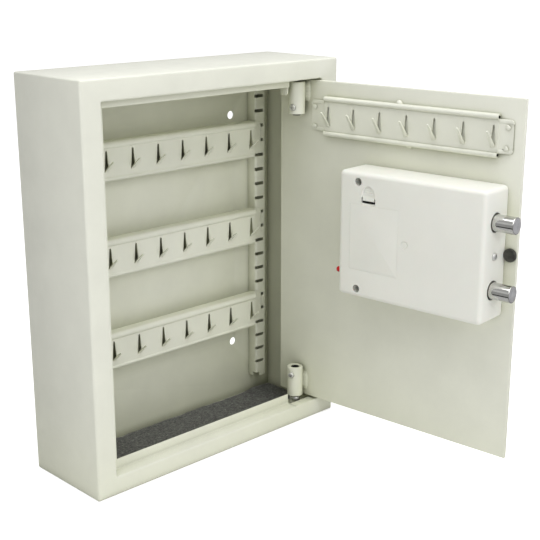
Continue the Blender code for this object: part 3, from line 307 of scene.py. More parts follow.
CREAM, WORN_CREAM = (0.735, 0.74, 0.655), (0.8, 0.8, 0.72)
MATERIALS = {
    # The powder coat has painted shade in its gaps and corners; the plain coat is the same paint without it.
    "powder_coat": coated("powder_coat", CREAM, 0.42, wear_colour=WORN_CREAM, painted_shade=0.7),
    "case_plastic": coated("case_plastic", (0.785, 0.785, 0.73), 0.38, 0.015, (1500, 6e-6), 0.05,
                           subsurface=0.04),
    "dark_plastic": coated("dark_plastic", (0.028, 0.029, 0.032), 0.42, 0.1, (1300, 2e-5), 0.35,
                           (0.11, 0.11, 0.115)),
    "key_plastic": coated("key_plastic", (0.42, 0.43, 0.44), 0.5, 0.04, (1400, 1.2e-5), 0.3),
    "red_plastic": coated("red_plastic", (0.62, 0.015, 0.02), 0.3, 0.05, (900, 6e-6), 0.2),
    "rubber": coated("rubber", (0.24, 0.245, 0.205), 0.7, 0.5, (600, 9e-5), 0.3, (0.3, 0.3, 0.27)),
    "lens": coated("lens", (0.16, 0.008, 0.01), 0.12, 0.05, (500, 2e-6), 0.1),
    "cell_wrap": coated("cell_wrap", (0.05, 0.07, 0.13), 0.3, 0.05, (400, 6e-6), 0.3),
    "print": coated("print", (0.85, 0.86, 0.86), 0.5, 0.04, (900, 4e-6), 0.1),
    "chrome": metal("chrome", (0.6, 0.6, 0.575), 0.1, (500, (0.2, 3, 3)), 2.5e-6, 0.08),
    "plain_coat": coated("plain_coat", CREAM, 0.42, wear_colour=WORN_CREAM),
    "bolt_end": metal("bolt_end", (0.93, 0.93, 0.95), 0.42, (420, (1, 1, 1)), 4e-5, 0.3),
    "bright_zinc": metal("bright_zinc", (0.92, 0.92, 0.9), 0.5, (420, (1, 1, 1)), 2e-5, 0.2),
    "black_steel": coated("black_steel", (0.014, 0.014, 0.013), 0.8, 0.2, spec=0.1),
    "zinc_steel": metal("zinc_steel", (0.6, 0.6, 0.58), 0.34, (400, (1, 1, 6)), 6e-6, 0.25),
    "brass": metal("brass", (0.78, 0.57, 0.25), 0.24, (700, (1, 5, 1)), 5e-6, 0.3),
    "felt": felt_material(),
    "board": board_material(),
    "copper": winding_material(),
}

# ------------------------------------------------------------------ pieces


def bake(made, kind, **settings):
    """Applies one modifier and leaves a plain mesh."""
    modifier = made.modifiers.new(kind.lower(), kind)
    for key, value in settings.items():
        setattr(modifier, key, value)
    evaluated = made.evaluated_get(bpy.context.evaluated_depsgraph_get())
    mesh = bpy.data.meshes.new_from_object(evaluated)
    made.modifiers.clear()
    made.data = mesh


def add_object(name, data, matrix=None):
    made = bpy.data.objects.new(name, data)
    if matrix:
        made.matrix_world = matrix
    bpy.context.scene.collection.objects.link(made)
    bpy.context.view_layer.update()
    return made


def raw_object(name, shapes, space):
    """An object made of one shape or a list of them, standing in a frame of reference."""
    at, matrix = space
    bm = bmesh.new()
    for shape in shapes if isinstance(shapes, list) else [shapes]:
        shape(bm, at)
    bmesh.ops.recalc_face_normals(bm, faces=bm.faces)
    mesh = bpy.data.meshes.new(name)
    bm.to_mesh(mesh)
    bm.free()
    return add_object(name, mesh, matrix)


def dress(made, body, material):
    """Gives an object its material and the body it rides on."""
    made.data.materials.clear()
    made.data.materials.append(MATERIALS[material])
    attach(made, body)


def piece(name, shapes, body, material, node=None, cuts=(), rounded=0, smooth=38):
    """One finished piece: mesh, cut-outs, rounded edges, material, and the node it replaces."""
    space = CABINET if body == "cabinet" else DOOR
    made = raw_object(name, shapes, space)
    for index, cut in enumerate(cuts):
        tool = raw_object(f"{name}_tool{index}", cut, space)
        bake(made, "BOOLEAN", object=tool, operation="DIFFERENCE", solver="EXACT")
        bpy.data.objects.remove(tool)
    if rounded:
        bake(made, "BEVEL", width=rounded * MM, segments=2, limit_method="ANGLE",
             angle_limit=radians(35), harden_normals=False)
    made.data.shade_smooth()
    made.data.set_sharp_from_angle(angle=radians(smooth))
    dress(made, body, material)
    if node:
        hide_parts(node)


# ------------------------------------------------------------------ shapes


def bridge(bm, first, second, closed=True):
    """Faces between two rings of vertices. A ring of one vertex is a point."""
    if len(first) == 1 and len(second) == 1:
        return
    count = max(len(first), len(second))
    for index in range(count if closed else count - 1):
        after = (index + 1) % count
        corners = [
            first[min(index, len(first) - 1)], first[min(after, len(first) - 1)],
            second[min(after, len(second) - 1)], second[min(index, len(second) - 1)],
        ]
        unique = list(dict.fromkeys(corners))
        if len(unique) > 2:
            bm.faces.new(unique)


def loft(bm, rings, loop=False):
    """A surface through rings of points, capped at its ends or closed into a loop."""
    made = [[bm.verts.new(point) for point in ring] for ring in rings]
    for first, second in zip(made, made[1:]):
        bridge(bm, first, second)
    if loop:
        bridge(bm, made[-1], made[0])
        return
    for ring in (made[0], made[-1]):
        if len(ring) > 2:
            bm.faces.new(ring)


def skin(rings, loop=False):
    """A loft through rings of places in millimetres."""
    return lambda bm, at: loft(bm, [[at(*point) for point in ring] for ring in rings], loop)


def prism(outline, axis, levels):
    """An outline across an axis (0, 1 or 2) of its frame, drawn out between two levels."""
    return skin([[(*p[:axis], level, *p[axis:]) for p in outline] for level in levels])


def turned(start, toward, profile, sides=48, loop=False):
    """A turned solid: (radius, distance) points along the line from start to toward."""
    def shape(bm, at):
        origin = at(*start)
        axis = (at(*toward) - origin).normalized()
        side = axis.orthogonal().normalized()
        other = axis.cross(side)
        rings = []
        for radius, distance in profile:
            centre = origin + axis * distance * MM
            if radius == 0:
                rings.append([centre])
                continue
            rings.append([
                centre + (side * cos(angle) + other * sin(angle)) * radius * MM
                for angle in (2 * pi * step / sides for step in range(sides))
            ])
        loft(bm, rings, loop)

    return shape


def rod(start, end, radius, sides=40):
    def shape(bm, at):
        length = (at(*end) - at(*start)).length / MM
        turned(start, end, [(radius, 0), (radius, length)], sides)(bm, at)

    return shape


def box(low, high):
    def shape(bm, at):
        first, second = at(*low), at(*high)
        size = [abs(second[i] - first[i]) for i in range(3)]
        matrix = Matrix.Translation((first + second) / 2) @ Matrix.Diagonal((*size, 1))
        bmesh.ops.create_cube(bm, size=1, matrix=matrix)

    return shape


def fillet(points, steps=4, closed=True):
    """A 2-D path of (x, y, radius) corners with its corners rounded."""
    path = []
    for index, (x, y, radius) in enumerate(points):
        ends = not closed and index in (0, len(points) - 1)
        if radius == 0 or ends:
            path.append((x, y))
            continue
        corner = Vector((x, y))
        before = Vector(points[index - 1][:2]) - corner
        after = Vector(points[(index + 1) % len(points)][:2]) - corner
        reach = min(radius, before.length * 0.49, after.length * 0.49)
        start, end = corner + before.normalized() * reach, corner + after.normalized() * reach
        for step in range(steps + 1):
            t = step / steps
            point = start * (1 - t) ** 2 + corner * 2 * t * (1 - t) * 0.93 + end * t ** 2
            point += (start + end) / 2 * (2 * t * (1 - t) * 0.07)
            path.append((point.x, point.y))
    return path


def ribbon(path, thickness):
    """A closed outline: the path and a copy of it offset to its left."""
    offset = []
    for index, point in enumerate(path):
        before = Vector(path[max(index - 1, 0)])
        after = Vector(path[min(index + 1, len(path) - 1)])
        along = (after - before).normalized()
        offset.append((point[0] - along.y * thickness, point[1] + along.x * thickness))
    return path + offset[::-1]


def arc(centre, radius, start, sweep, steps):
    """(a, b) points along an arc, from an angle on through a sweep."""
    angles = [start + sweep * step / steps for step in range(steps + 1)]
    return [(centre[0] + radius * cos(a), centre[1] + radius * sin(a)) for a in angles]


def around(a, b, size, grow=0.0):
    """Low and high corners of a rectangle about its centre, grown by a margin."""
    half = (size[0] / 2 + grow, size[1] / 2 + grow)
    return (a - half[0], b - half[1]), (a + half[0], b + half[1])


def spread(range_a, range_b, grow=0.0):
    """Low and high corners of a rectangle from its two ranges, grown by a margin."""
    return (range_a[0] - grow, range_b[0] - grow), (range_a[1] + grow, range_b[1] + grow)


def rounded_rect(low, high, radius, steps=8):
    """(a, b) points round a rectangle with rounded corners."""
    points = []
    for quarter, (a, b) in enumerate((
        (high[0] - radius, high[1] - radius), (low[0] + radius, high[1] - radius),
        (low[0] + radius, low[1] + radius), (high[0] - radius, low[1] + radius),
    )):
        for step in range(steps + 1):
            angle = pi / 2 * (quarter + step / steps)
            points.append((a + radius * cos(angle), b + radius * sin(angle)))
    return points


def pad(low, high, base, top, radius, edge, dish=0.0, steps=8):
    """A plate from base to top in the plane of the door, its top edge rounded over."""
    out = 1 if top > base else -1
    levels = [(0, base)]
    for step in range(7):
        angle = pi / 2 * step / 6
        levels.append((edge * (1 - cos(angle)), top - out * edge * (1 - sin(angle))))
    if dish:
        levels += [(edge + 1.4, top - out * dish * 0.45), (edge + 2.8, top - out * dish)]
    rings = []
    for inset, depth in levels:
        corners = spread((low[0], high[0]), (low[1], high[1]), -inset)
        outline = rounded_rect(*corners, max(radius - inset, 0.35), steps)
        rings.append([(a, depth, b) for a, b in outline])
    return skin(rings)


def weld_blob(u, w, z, size, seed):
    """A painted-over weld: a low uneven dome on the door's inner side."""
    random = Random(seed)
    half_u, half_z, height = size
    rings = []
    for level in range(5):
        angle = pi / 2 * level / 5
        ring = []
        for step in range(18):
            turn = 2 * pi * step / 18
            wobble = 1 + 0.1 * sin(3 * turn + seed) + 0.04 * random.uniform(-1, 1)
            reach = cos(angle) * wobble
            ring.append((u + half_u * reach * cos(turn), w + height * sin(angle),
                         z + half_z * reach * sin(turn)))
        rings.append(ring)
    return skin(rings + [[(u, w + height, z)]])


# ------------------------------------------------------------------ cabinet body


def corner_point(insets, radius, corner, t):
    """A point on a rounded rectangle's corner, t from 0 to 1 going round from left-high."""
    sides = (("left", "high"), ("left", "low"), ("right", "low"), ("right", "high"))
    side, level = sides[corner]
    centre_x, centre_z = insets[side] + radius, insets[level] + radius
    angle = pi / 2 * (t if corner % 2 else 1 - t)
    x = centre_x - radius * cos(angle)
    z = centre_z - radius * sin(angle)
    return (x if side == "left" else CAB_W - x), (z if level == "low" else CAB_H - z)


def wrapper_rings():
    """Rings round the cabinet for each point of the folded sheet's cross-section."""
    inner_r, lip = FOLD_R - SHEET, 1.3
    turns = [pi / 2 * step / 6 for step in range(7)]
    outer, opening = dict.fromkeys(FLANGE, 0), FLANGE
    section = [(outer, SHEET, CAB_D), (outer, 0.3, CAB_D), (outer, 0, CAB_D - 0.3)]
    section += [(outer, FOLD_R * (1 - cos(a)), FOLD_R * (1 - sin(a))) for a in turns]
    section += [(opening, -lip * (1 - sin(a)), lip * (1 - cos(a))) for a in turns]
    section += [(opening, 0, 2.4), (opening, -SHEET, 2.4), (opening, -SHEET - 0.4, SHEET)]
    section.append((outer, FOLD_R, SHEET))
    section += [
        (outer, SHEET + inner_r * (1 - sin(a)), SHEET + inner_r * (1 - cos(a))) for a in turns[::3]
    ]
    rings = []
    for edges, inset, y in section:
        insets = {side: size + inset for side, size in edges.items()}
        radius = max(FOLD_R * 0.8 - inset, 0.02) if edges is outer else 2.2 - inset * 0.4
        outline = [
            corner_point(insets, radius, corner, step / 6)
            for corner in range(4) for step in range(7)
        ]
        rings.append([(x, y, z) for x, z in outline])
    return rings


def stop_section(rise):
    """Section of the shelf and lip, as (distance inside the opening's edge, y) points."""
    return fillet([
        (0.15, 0.5, 0.3), (0.15, STOP_Y, 1.6), (rise, STOP_Y, 0.5),
        (rise, STOP_Y + SHEET, 0.5), (-SHEET, STOP_Y + SHEET, 2), (-SHEET, 0.5, 0),
    ])


def stop_rings():
    """Rings of the shelf and lip along the top, the left side and the foot of the opening."""
    sides = stop_section(STOP_RISE["low"])
    rings = []
    for level in ("high", "low"):
        run = stop_section(STOP_RISE[level])
        heights = [FLANGE[level] + inward for inward, _ in run]
        if level == "high":
            heights = [CAB_H - height for height in heights]
        end = [(STOP_END_X, y, z) for (_, y), z in zip(run, heights)]
        corner = [(FLANGE["left"] + inward, y, z) for (inward, y), z in zip(sides, heights)]
        rings += [end, corner] if level == "high" else [corner, end]
    return rings


def make_shell():
    """Folded wrapper, its door stop, and the narrow return in front of the lower hinge."""
    start_x, low_z = STOP_END_X - 0.5, FLANGE["low"]
    sill = fillet([(start_x, 0.5, 0), (SILL_END_X, 0.5, 0), (SILL_END_X, 9.5, 2),
                   (start_x, 9.5, 0)])
    piece("shell_sill", prism(sill, 2, (low_z - 1.3, low_z + 0.15)), "cabinet", "powder_coat")
    piece("shell_wrapper", skin(wrapper_rings(), loop=True), "cabinet", "powder_coat",
          "cabinet_shell", smooth=50)
    piece("door_stop", skin(stop_rings()), "cabinet", "powder_coat", smooth=50)


def make_back_panel():
    edge = SHEET + 0.3
    plate = box((edge, CAB_D - SHEET, edge), (CAB_W - edge, CAB_D, CAB_H - edge))
    holes = [rod((x, CAB_D - 6, z), (x, CAB_D + 6, z), 4) for x, z in WALL_HOLES]
    piece("back_sheet", plate, "cabinet", "powder_coat", "back_panel", [holes], rounded=0.25)


def make_standard(name, inner_x, side):
    """Slotted channel. side is +1 on the right, where it is seen, and -1 on the left."""
    front, rear, foot = STANDARD_FRONT, CAB_D - SHEET - 0.3, STANDARD_Z[0]
    outer_x = inner_x + side * STANDARD_W
    path = fillet([(inner_x, rear, 0), (inner_x, front, 1.3), (outer_x, front, 1.3),
                   (outer_x, rear, 0)], 5, closed=False)
    channel = prism(ribbon(path, -side * 1.2), 2, STANDARD_Z)

    # Each slot runs out over the inner corner of the channel.
    low_x, high_x = sorted((inner_x - side, inner_x + side * (STANDARD_W - 2.2)))
    slots = []
    for index in range(SLOT_COUNT):
        z = SLOT_FOOT + index * SLOT_PITCH
        outline = fillet([(low_x, z - 1.7, 0.6), (high_x, z - 1.7, 0.9), (high_x, z + 1.7, 0.9),
                          (low_x, z + 1.7, 0.6)], 3)
        slots.append(prism(outline, 1, (front - 2, front + 1.4)))
    low_x, high_x = sorted((inner_x - side * 3, inner_x + side * 4))
    foot_notch = box((low_x, front - 2, foot - 2), (high_x, front + 4.5, foot + 4))
    piece(f"{name}_channel", channel, "cabinet", "powder_coat", name, [slots, foot_notch],
          smooth=45)


# ------------------------------------------------------------------ hook bars


def bar_section(face, rear, beads, fall, half=18):
    """Outer path of a bar's section, lower rear edge to upper, as (depth, height).

    Each bead rolls over the bar's edge: its radius, and how far it stands proud of the face.
    The upper edge sits lower than the full half height by the fall.
    """
    out = 1 if face > rear else -1
    path = []
    for (bead, proud), side in zip(beads, (-1, 1)):
        edge = half - (fall if side > 0 else 0)
        centre_d, centre_h = face + out * (proud - bead), edge - bead
        run = [(rear, edge)]
        for step in range(13):
            angle = radians(90 - 13 * step)
            height = centre_h + bead * sin(angle)
            depth = centre_d + out * bead * cos(angle)
            if out * (depth - face) > 0 or angle > 0:
                run.append((depth, height))
        run.append((face, run[-1][1] - 0.25))
        run = [(d, side * h) for d, h in run]
        path += run if side < 0 else run[::-1]
    return path


def tongue(along, face, out, foot, reach):
    """A hook lanced from the bar: bent out of its face, tapering to a rounded tip."""
    length, lean = reach
    bend, steps, thick = 2.2, 6, 0.6
    path = []
    for step in range(steps + 1):
        angle = lean * step / steps
        path.append((bend * (1 - cos(angle)), bend * sin(angle), angle))
    run = length - bend * lean
    depth, rise, _ = path[steps]
    for share in (0.3, 0.6, 0.85, 0.95, 1.0):
        path.append((depth + run * share * sin(lean), rise + run * share * cos(lean), lean))
    widths = [2.1] * (steps + 1) + [1.8, 1.5, 1.25, 1.05, 0.6]
    section = [(-1, -0.7), (-0.85, -1), (0.85, -1), (1, -0.7)]
    section += [(-across, -through) for across, through in section]
    rings = []
    for (depth, rise, angle), half in zip(path, widths):
        rings.append([
            (along + half * across, face + out * (depth - thick + cos(angle) * thick * through),
             foot + rise - sin(angle) * thick * through)
            for across, through in section
        ])
    return skin(rings)


def rounded_tip(tip, inward, corner, half):
    """Places along a bar, and shares of its height, that round off the tip of its foot."""
    for step in range(5):
        angle = pi / 2 * step / 4
        share = (half - corner * (1 - cos(angle))) / half
        yield tip + inward * corner * (1 - sin(angle)), share


def hook_bar(name, node, body, centre, count, section, face, stations, reach):
    """Pressed bar about a centre (along, height), with hooks lanced out of its face.

    Each station gives a place along the bar, the face's depth there, and the shares that
    are left of the section's depth and height.
    """
    out = 1 if section[0][0] < face else -1
    middle, centre_z = centre
    first = middle - (count - 1) * HOOK_PITCH / 2
    hooks_at = [first + index * HOOK_PITCH for index in range(count)]
    slot_low = centre_z - SLOT_HEIGHT / 2 - 0.6
    slot_high = slot_low + SLOT_HEIGHT
    sheet = skin([
        [(along, level + (d - face) * depth, centre_z + h * height) for d, h in section]
        for along, level, depth, height in stations
    ])
    slots = []
    for a in hooks_at:
        outline = fillet([(a - 2.4, slot_low, 0.4), (a + 2.3, slot_low + 3.2, 0.8),
                          (a + 0.9, slot_high, 0.7), (a - 0.9, slot_high, 0.7)])
        slots.append(prism(outline, 1, (face - 3.2, face + 3)))
    hooks = [tongue(a, face, out, slot_low - 1.4, reach) for a in hooks_at]
    piece(f"{name}_sheet", sheet, body, "powder_coat", node, [slots], smooth=40)
    piece(f"{name}_hooks", hooks, body, "powder_coat", smooth=40)


def make_inner_bars():
    """Three bars whose ends step back to the standards in flat, rounded tabs."""
    section = ribbon(bar_section(BAR_FACE, BAR_REAR, ((1.6, 0.5), (2.4, 1.5)), 1.7), 1)
    tab_y, squash, tab_share = STANDARD_FRONT - 1.55, 0.12, 0.92
    left = [(BAR_END, BAR_FACE, 1, 1), (BAR_END - 6.5, tab_y - 0.1, squash, tab_share)]
    for along, share in rounded_tip(BAR_TIP, 1, 4.5, 16.5):
        left.append((along, tab_y, squash, tab_share * share))
    stations = left[::-1] + [(CAB_W - along, *rest) for along, *rest in left]
    for level, z in BAR_Z.items():
        hook_bar(f"bar_{level}", f"hook_bar_{level}", "cabinet", (CAB_W / 2, z), 8, section,
                 BAR_FACE, stations, INNER_HOOK)
        stiffener = box((44, BAR_REAR - 0.9, z - 17), (CAB_W - 44, BAR_REAR - 0.2, z + 14.5))
        lower_fold = box((BAR_END + 1, BAR_FACE + 1.5, z - 19.1),
                         (CAB_W - BAR_END - 1, BAR_FACE + 2.4, z - 17))
        piece(f"bar_{level}_back", [stiffener, lower_fold], "cabinet", "powder_coat")


def make_door_bar():
    """Flat bar with a thin rolled bead along each edge, its ends flat and welded to the door."""
    face, rear, foot_share, z = 2.6, 0.5, 0.78, DOOR_BAR_Z
    section = ribbon(bar_section(face, rear, ((1.6, 2.1), (1.6, 2.1)), 0), -0.8)
    halves = []
    for foot, end, inward in zip(DOOR_BAR_TIPS, DOOR_BAR_ENDS, (1, -1)):
        half = [
            (end, face, 1, 1), (end - inward * 0.4, face, 0.25, foot_share),
            (end - inward * 2, face - 0.05, 0.25, foot_share),
            (end - inward * 7, 1.1, 0.2, foot_share),
        ]
        for along, share in rounded_tip(foot, inward, 3, 14):
            half.append((along, 0.85, 0.2, foot_share * share))
        halves.append(half)
    hook_bar("door_bar", "door_hook_bar", "door", (DOOR_BAR_MIDDLE, z), 7, section, face,
             halves[0][::-1] + halves[1], DOOR_HOOK)

    # The door's coat, seen close behind the slots.
    start, end = DOOR_BAR_ENDS
    backing = box((start + 1, 0.1, z - 13), (end - 1, face - 1.2, z + 13))
    piece("door_bar_backing", backing, "door", "plain_coat")

    # Black plugs inside the open ends of the rolled beads, and a black dot in a small pressed hollow by the lower
    # one: painted shade of these hollows.
    mouth_shade_plugs = [
        rod((end - 0.2, face + 0.5, z + rise), (end + 0.5, face + 0.5, z + rise), 1.3, 16)
        for rise in (16.2, -16.2)
    ]
    mark_shade_plug = rod((end + 4.5, 1.0, z - 11.5), (end + 4.5, 2.2, z - 11.5), 0.8, 16)
    piece("door_bar_shade_plugs", mouth_shade_plugs + [mark_shade_plug], "door", "black_steel")

    # Spot welds on the feet and tack welds along the beads.
    spots = ((17, 320), (17, 301.5), (224, 320), (223, 302))
    welds = [
        weld_blob(u, face - 0.2, height, (2.2, 2.2, 0.6), seed)
        for seed, (u, height) in enumerate(spots)
    ]
    welds.append(weld_blob(113, 0.3, 331, (3.6, 2.8, 3.2), 9))
    welds.append(weld_blob(125, 0.3, 293.2, (3.2, 2.2, 2.6), 10))
    piece("door_bar_welds", welds, "door", "powder_coat", smooth=60)


# ------------------------------------------------------------------ felt mat


def make_felt_mat():
    """Cut felt laid on the floor: soft edges, low waves, its rear edge not quite straight."""
    low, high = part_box("felt_mat")
    columns, rows = 150, 42
    floor, thick = low.z + 0.0001, 0.0028

    def sheet(bm, _):
        tops, bottoms = [], []
        for row in range(rows + 1):
            top_row, bottom_row = [], []
            for column in range(columns + 1):
                s, t = column / columns, row / rows
                x = low.x + 0.001 + (high.x - low.x - 0.002) * s
                wander = 0.0022 * noise.noise(Vector((s * 9, 0.3, 2)))
                wander += 0.0009 * noise.noise(Vector((s * 31, 5.1, 2)))
                y_far = high.y - 0.0028 + wander
                y = low.y + 0.0006 + (y_far - low.y) * t
                lift = 0.0016 * max(0, noise.noise(Vector((s * 6, t * 1.2, 7)))) * t ** 3
                fuzz = 0.00028 * noise.noise(Vector((x * 420, y * 420, 1)))
                fuzz += 0.00016 * noise.noise(Vector((x * 1300, y * 1300, 4)))
                border = min(s * columns, (1 - s) * columns, t * rows, (1 - t) * rows)
                height = thick * min(1, 0.45 + 0.3 * border)
                top_row.append(bm.verts.new((x, y, floor + lift + height + fuzz)))
                bottom_row.append(bm.verts.new((x, y, floor + lift * 0.9)))
            tops.append(top_row)
            bottoms.append(bottom_row)
        for grid in (tops, bottoms):
            for first, second in zip(grid, grid[1:]):
                bridge(bm, first, second, closed=False)
        for end in (0, -1):
            bridge(bm, tops[end], bottoms[end], closed=False)
        for end in (0, -1):
            bridge(bm, [row[end] for row in tops], [row[end] for row in bottoms], closed=False)

    def fibres(bm, _):
        """Loose fibres standing off the surface and along the cut edges."""
        random = Random(11)
        for _ in range(1400):
            x = random.uniform(low.x + 0.004, high.x - 0.004)
            y = random.uniform(low.y + 0.002, high.y - 0.006)
            turn, length = random.uniform(0, 2 * pi), random.uniform(0.0012, 0.003)
            along = Vector((cos(turn), sin(turn), 0)) * length
            side = Vector((-sin(turn), cos(turn), 0)) * 0.00005
            base = Vector((x, y, floor + thick - 0.0001))
            crest = base + along * 0.5 + Vector((0, 0, random.uniform(0.0003, 0.0008)))
            points = (base - side, base + side, crest + side, crest - side, base + along)
            verts = [bm.verts.new(point) for point in points]
            bm.faces.new(verts[:4])
            bm.faces.new((verts[3], verts[2], verts[4]))

    piece("felt_sheet", sheet, "cabinet", "felt", "felt_mat", smooth=80)
    piece("felt_fibres", fibres, "cabinet", "felt")


# ------------------------------------------------------------------ hinges


def weld_run(start_z, end_z, seed):
    """Weld between a hinge tube and the door, tapering out at both ends of its run."""
    random = Random(seed)
    steps = 24
    rings = []
    for step in range(steps + 1):
        share = step / steps
        z = start_z + (end_z - start_z) * share
        ripple = 0.1 * sin(share * 34) + 0.05 * random.uniform(-1, 1)
        size = (1 + ripple) * min(1, sin(pi * share) * 1.3 + 0.05)
        rings.append([
            (2.5, -0.2, z), (2.5, 3.2 * size, z), (5.2, 1.5 * size, z), (7.0, 0.7 * size, z),
            (8.4 + size, 0.1 * size, z), (8.8 + size, -0.2, z),
        ])
    return skin(rings)


def on_axis(z):
    """A point on the hinge axis."""
    return (0, AXIS_TO_FACE, z)


def make_hinge(name):
    """Tube with its set screw and weld on the door, and pin and bracket on the cabinet."""
    low_z, high_z = TUBES[name]
    is_top = name == "top"
    length = high_z - low_z

    def on_screw(reach):
        """A point on the set screw's centre line, a distance out from the hinge axis."""
        return (reach * sin(SET_SCREW_TURN), AXIS_TO_FACE + reach * cos(SET_SCREW_TURN),
                SET_SCREWS[name])

    if not is_top:
        # The spacer carries the door on the lower bracket.
        foot, head = LOW_PLATE_Z + PLATE_T + 0.2, low_z - 1.7
        long = head - foot
        profile = [(4.2, 0), (5.4, 0), (5.6, 0.3), (5.6, long - 0.3), (5.4, long), (4.2, long)]
        piece("hinge_spacer", turned(on_axis(foot), on_axis(head), profile), "door",
              "zinc_steel")

    profile = [
        (TUBE_BORE_R + 0.4, 0), (TUBE_R - 0.5, 0), (TUBE_R, 0.5), (TUBE_R, length - 0.5),
        (TUBE_R - 0.5, length), (TUBE_BORE_R + 0.4, length), (TUBE_BORE_R, length - 0.4),
        (TUBE_BORE_R, 0.4),
    ]
    tube = turned(on_axis(low_z), on_axis(high_z), profile, 64, loop=True)
    screw_hole = rod(on_screw(2), on_screw(TUBE_R + 3), SET_SCREW_R + 0.35)
    piece(f"tube_{name}", tube, "door", "powder_coat", f"hinge_tube_{name}", [screw_hole],
          smooth=40)

    r = SET_SCREW_R
    profile = [(r, 0), (r, 4.6), (r - 0.12, 5.0), (r - 0.45, 5.3), (r - 0.9, 5.4)]
    socket = rod(on_screw(TUBE_R - 0.9), on_screw(TUBE_R + 4), 1.55, 6)
    piece(f"set_screw_{name}", turned(on_screw(4.3), on_screw(20), profile), "door",
          "bright_zinc", f"hinge_set_screw_{name}", [socket])
    piece(f"tube_weld_{name}", weld_run(*WELD_RUNS[name], 3 + is_top), "door", "powder_coat",
          smooth=70)

    # The bracket's plate carries the pin. The upper one has a tab with one rounded corner.
    plate_z = TOP_PLATE_Z if is_top else LOW_PLATE_Z
    (left, right), (front, rear) = PLATE_X, PLATE_Y
    outline = fillet([(left, front, 1.5), (right, front, 1.5), (right, rear, 3),
                      (left, rear, 1.5)], 5)
    bracket = [prism(outline, 2, (plate_z, plate_z + PLATE_T))]
    if is_top:
        tab = fillet([(TAB_Y[0], plate_z + 1, 0), (TAB_Y[0], TAB_FOOT, 3.5),
                      (TAB_Y[1], TAB_FOOT, 1), (TAB_Y[1], plate_z + 1, 0)], 8)
        bracket.append(prism(tab, 0, (left, left + 1.6)))
    pin_hole = rod((PIN_X, PIN_Y, plate_z - 2), (PIN_X, PIN_Y, plate_z + 5), 4.3)
    piece(f"bracket_{name}", bracket, "cabinet", "powder_coat", f"hinge_bracket_{name}",
          [pin_hole], rounded=0.3)

    tip, neck = PIN_TIPS[name], plate_z + PLATE_T + 0.3 if is_top else plate_z - 0.3
    long = abs(neck - tip)
    profile = [(3.6, 0), (4, 0.5), (4, long), (5.5, long), (5.5, long + 1.7), (4.9, long + 2.2)]
    piece(f"pin_{name}", turned(on_axis(tip), on_axis(neck), profile), "door", "black_steel",
          f"hinge_pin_{name}")


# ------------------------------------------------------------------ door


def make_door():
    """Door plate with its broken edges, and the ringed buffer near its free edge."""
    outline = rounded_rect(*spread(DOOR_U, DOOR_Z), 0.6, 3)
    rings = []
    for inset, w in ((0.7, -DOOR_T), (0.2, -DOOR_T + 0.2), (0, -DOOR_T + 0.7), (0, -0.7),
                     (0.2, -0.2), (0.7, 0)):
        rings.append([
            (u + inset * (1 if u < 100 else -1), w, z + inset * (1 if z < 180 else -1))
            for u, z in outline
        ])
    places = (SPINDLE_U, MID_Z, SPINDLE_HOLE_R), (OVERRIDE_U, MID_Z, OVERRIDE_HOLE_R), CABLE_HOLE
    holes = [rod((u, -8, z), (u, 4, z), radius) for u, z, radius in places]
    piece("door_sheet", skin(rings), "door", "powder_coat", "door_panel", [holes], smooth=50)

    r = BUFFER_R
    profile = [(r, 0), (r + 0.05, 1.6), (r - 0.2, 2.3), (r - 0.7, 2.65)]
    while r > 1.4:
        profile += [(r - 1.0, 2.7), (r - 1.3, 2.5), (r - 1.6, 2.7)]
        r -= 1.2
    profile.append((0, 2.6))
    buffer = turned((BUFFER_U, 0.3, BUFFER_Z), (BUFFER_U, 20, BUFFER_Z), profile, 56)
    piece("buffer", buffer, "door", "rubber", "rubber_buffer")


# ------------------------------------------------------------------ lock case


def make_lock_case():
    make_case_shell()
    profile = [(1.9, 0), (5.2, 0), (5.2, 8.5), (3.8, 8.5), (3.8, 1.2), (1.9, 1.2)]
    wells = [
        turned((CASE_SCREW_U, 26.4, z), (CASE_SCREW_U, 40, z), profile, 40, loop=True)
        for z in CASE_SCREWS_Z.values()
    ]
    piece("case_wells", wells, "door", "case_plastic")

    # Grip ridges on the floor of the thumb recess, and the tongue the thumb presses.
    ridges = []
    base, crest = CASE_W - 1.1, CASE_W - 0.65
    for index, half in enumerate((5.2, 4.8, 3.6)):
        z = LATCH_TOP + 3.2 + index * 1.9
        outline = fillet([(base, z - 0.4, 0), (crest, z - 0.2, 0.3), (crest, z + 0.2, 0.3),
                          (base, z + 0.4, 0)], 3)
        ridges.append(prism(outline, 0, (LATCH_U - half, LATCH_U + half)))
    latch_tongue = fillet([
        (CASE_W - 2.4, 245.4, 0), (CASE_W - 0.3, 245.4, 0.5), (CASE_W - 0.7, 248.4, 0.4),
        (CASE_W - 1.2, 250.4, 0), (CASE_W - 2.4, 250.4, 0),
    ], 3)
    ridges.append(prism(latch_tongue, 0, (LATCH_U - 6.3, LATCH_U + 6.3)))
    piece("case_ridges", ridges, "door", "case_plastic")

    # Ledge inside the window that the cover rests on.
    front = CASE_W - CASE_WALL
    low, high = spread(BATTERY_U, BATTERY_Z, 1.5)
    ledge = [
        box((low[0], front - 0.5, low[1]), (low[0] + 3.2, front + 1.35, high[1])),
        box((high[0] - 3.2, front - 0.5, low[1]), (high[0], front + 1.35, high[1])),
        box((low[0], front - 0.6, low[1]), (high[0], front + 1.3, low[1] + 3.2)),
        box((low[0], front - 0.6, high[1] - 3.2), (high[0], front + 1.3, high[1])),
    ]
    piece("case_ledge", ledge, "door", "case_plastic")
    cover = pad(*spread(BATTERY_U, BATTERY_Z, -0.1), CASE_W - 1.4, CASE_W, 0.6, 0.12, steps=4)
    piece("battery_door", cover, "battery_lid", "case_plastic", "battery_cover")


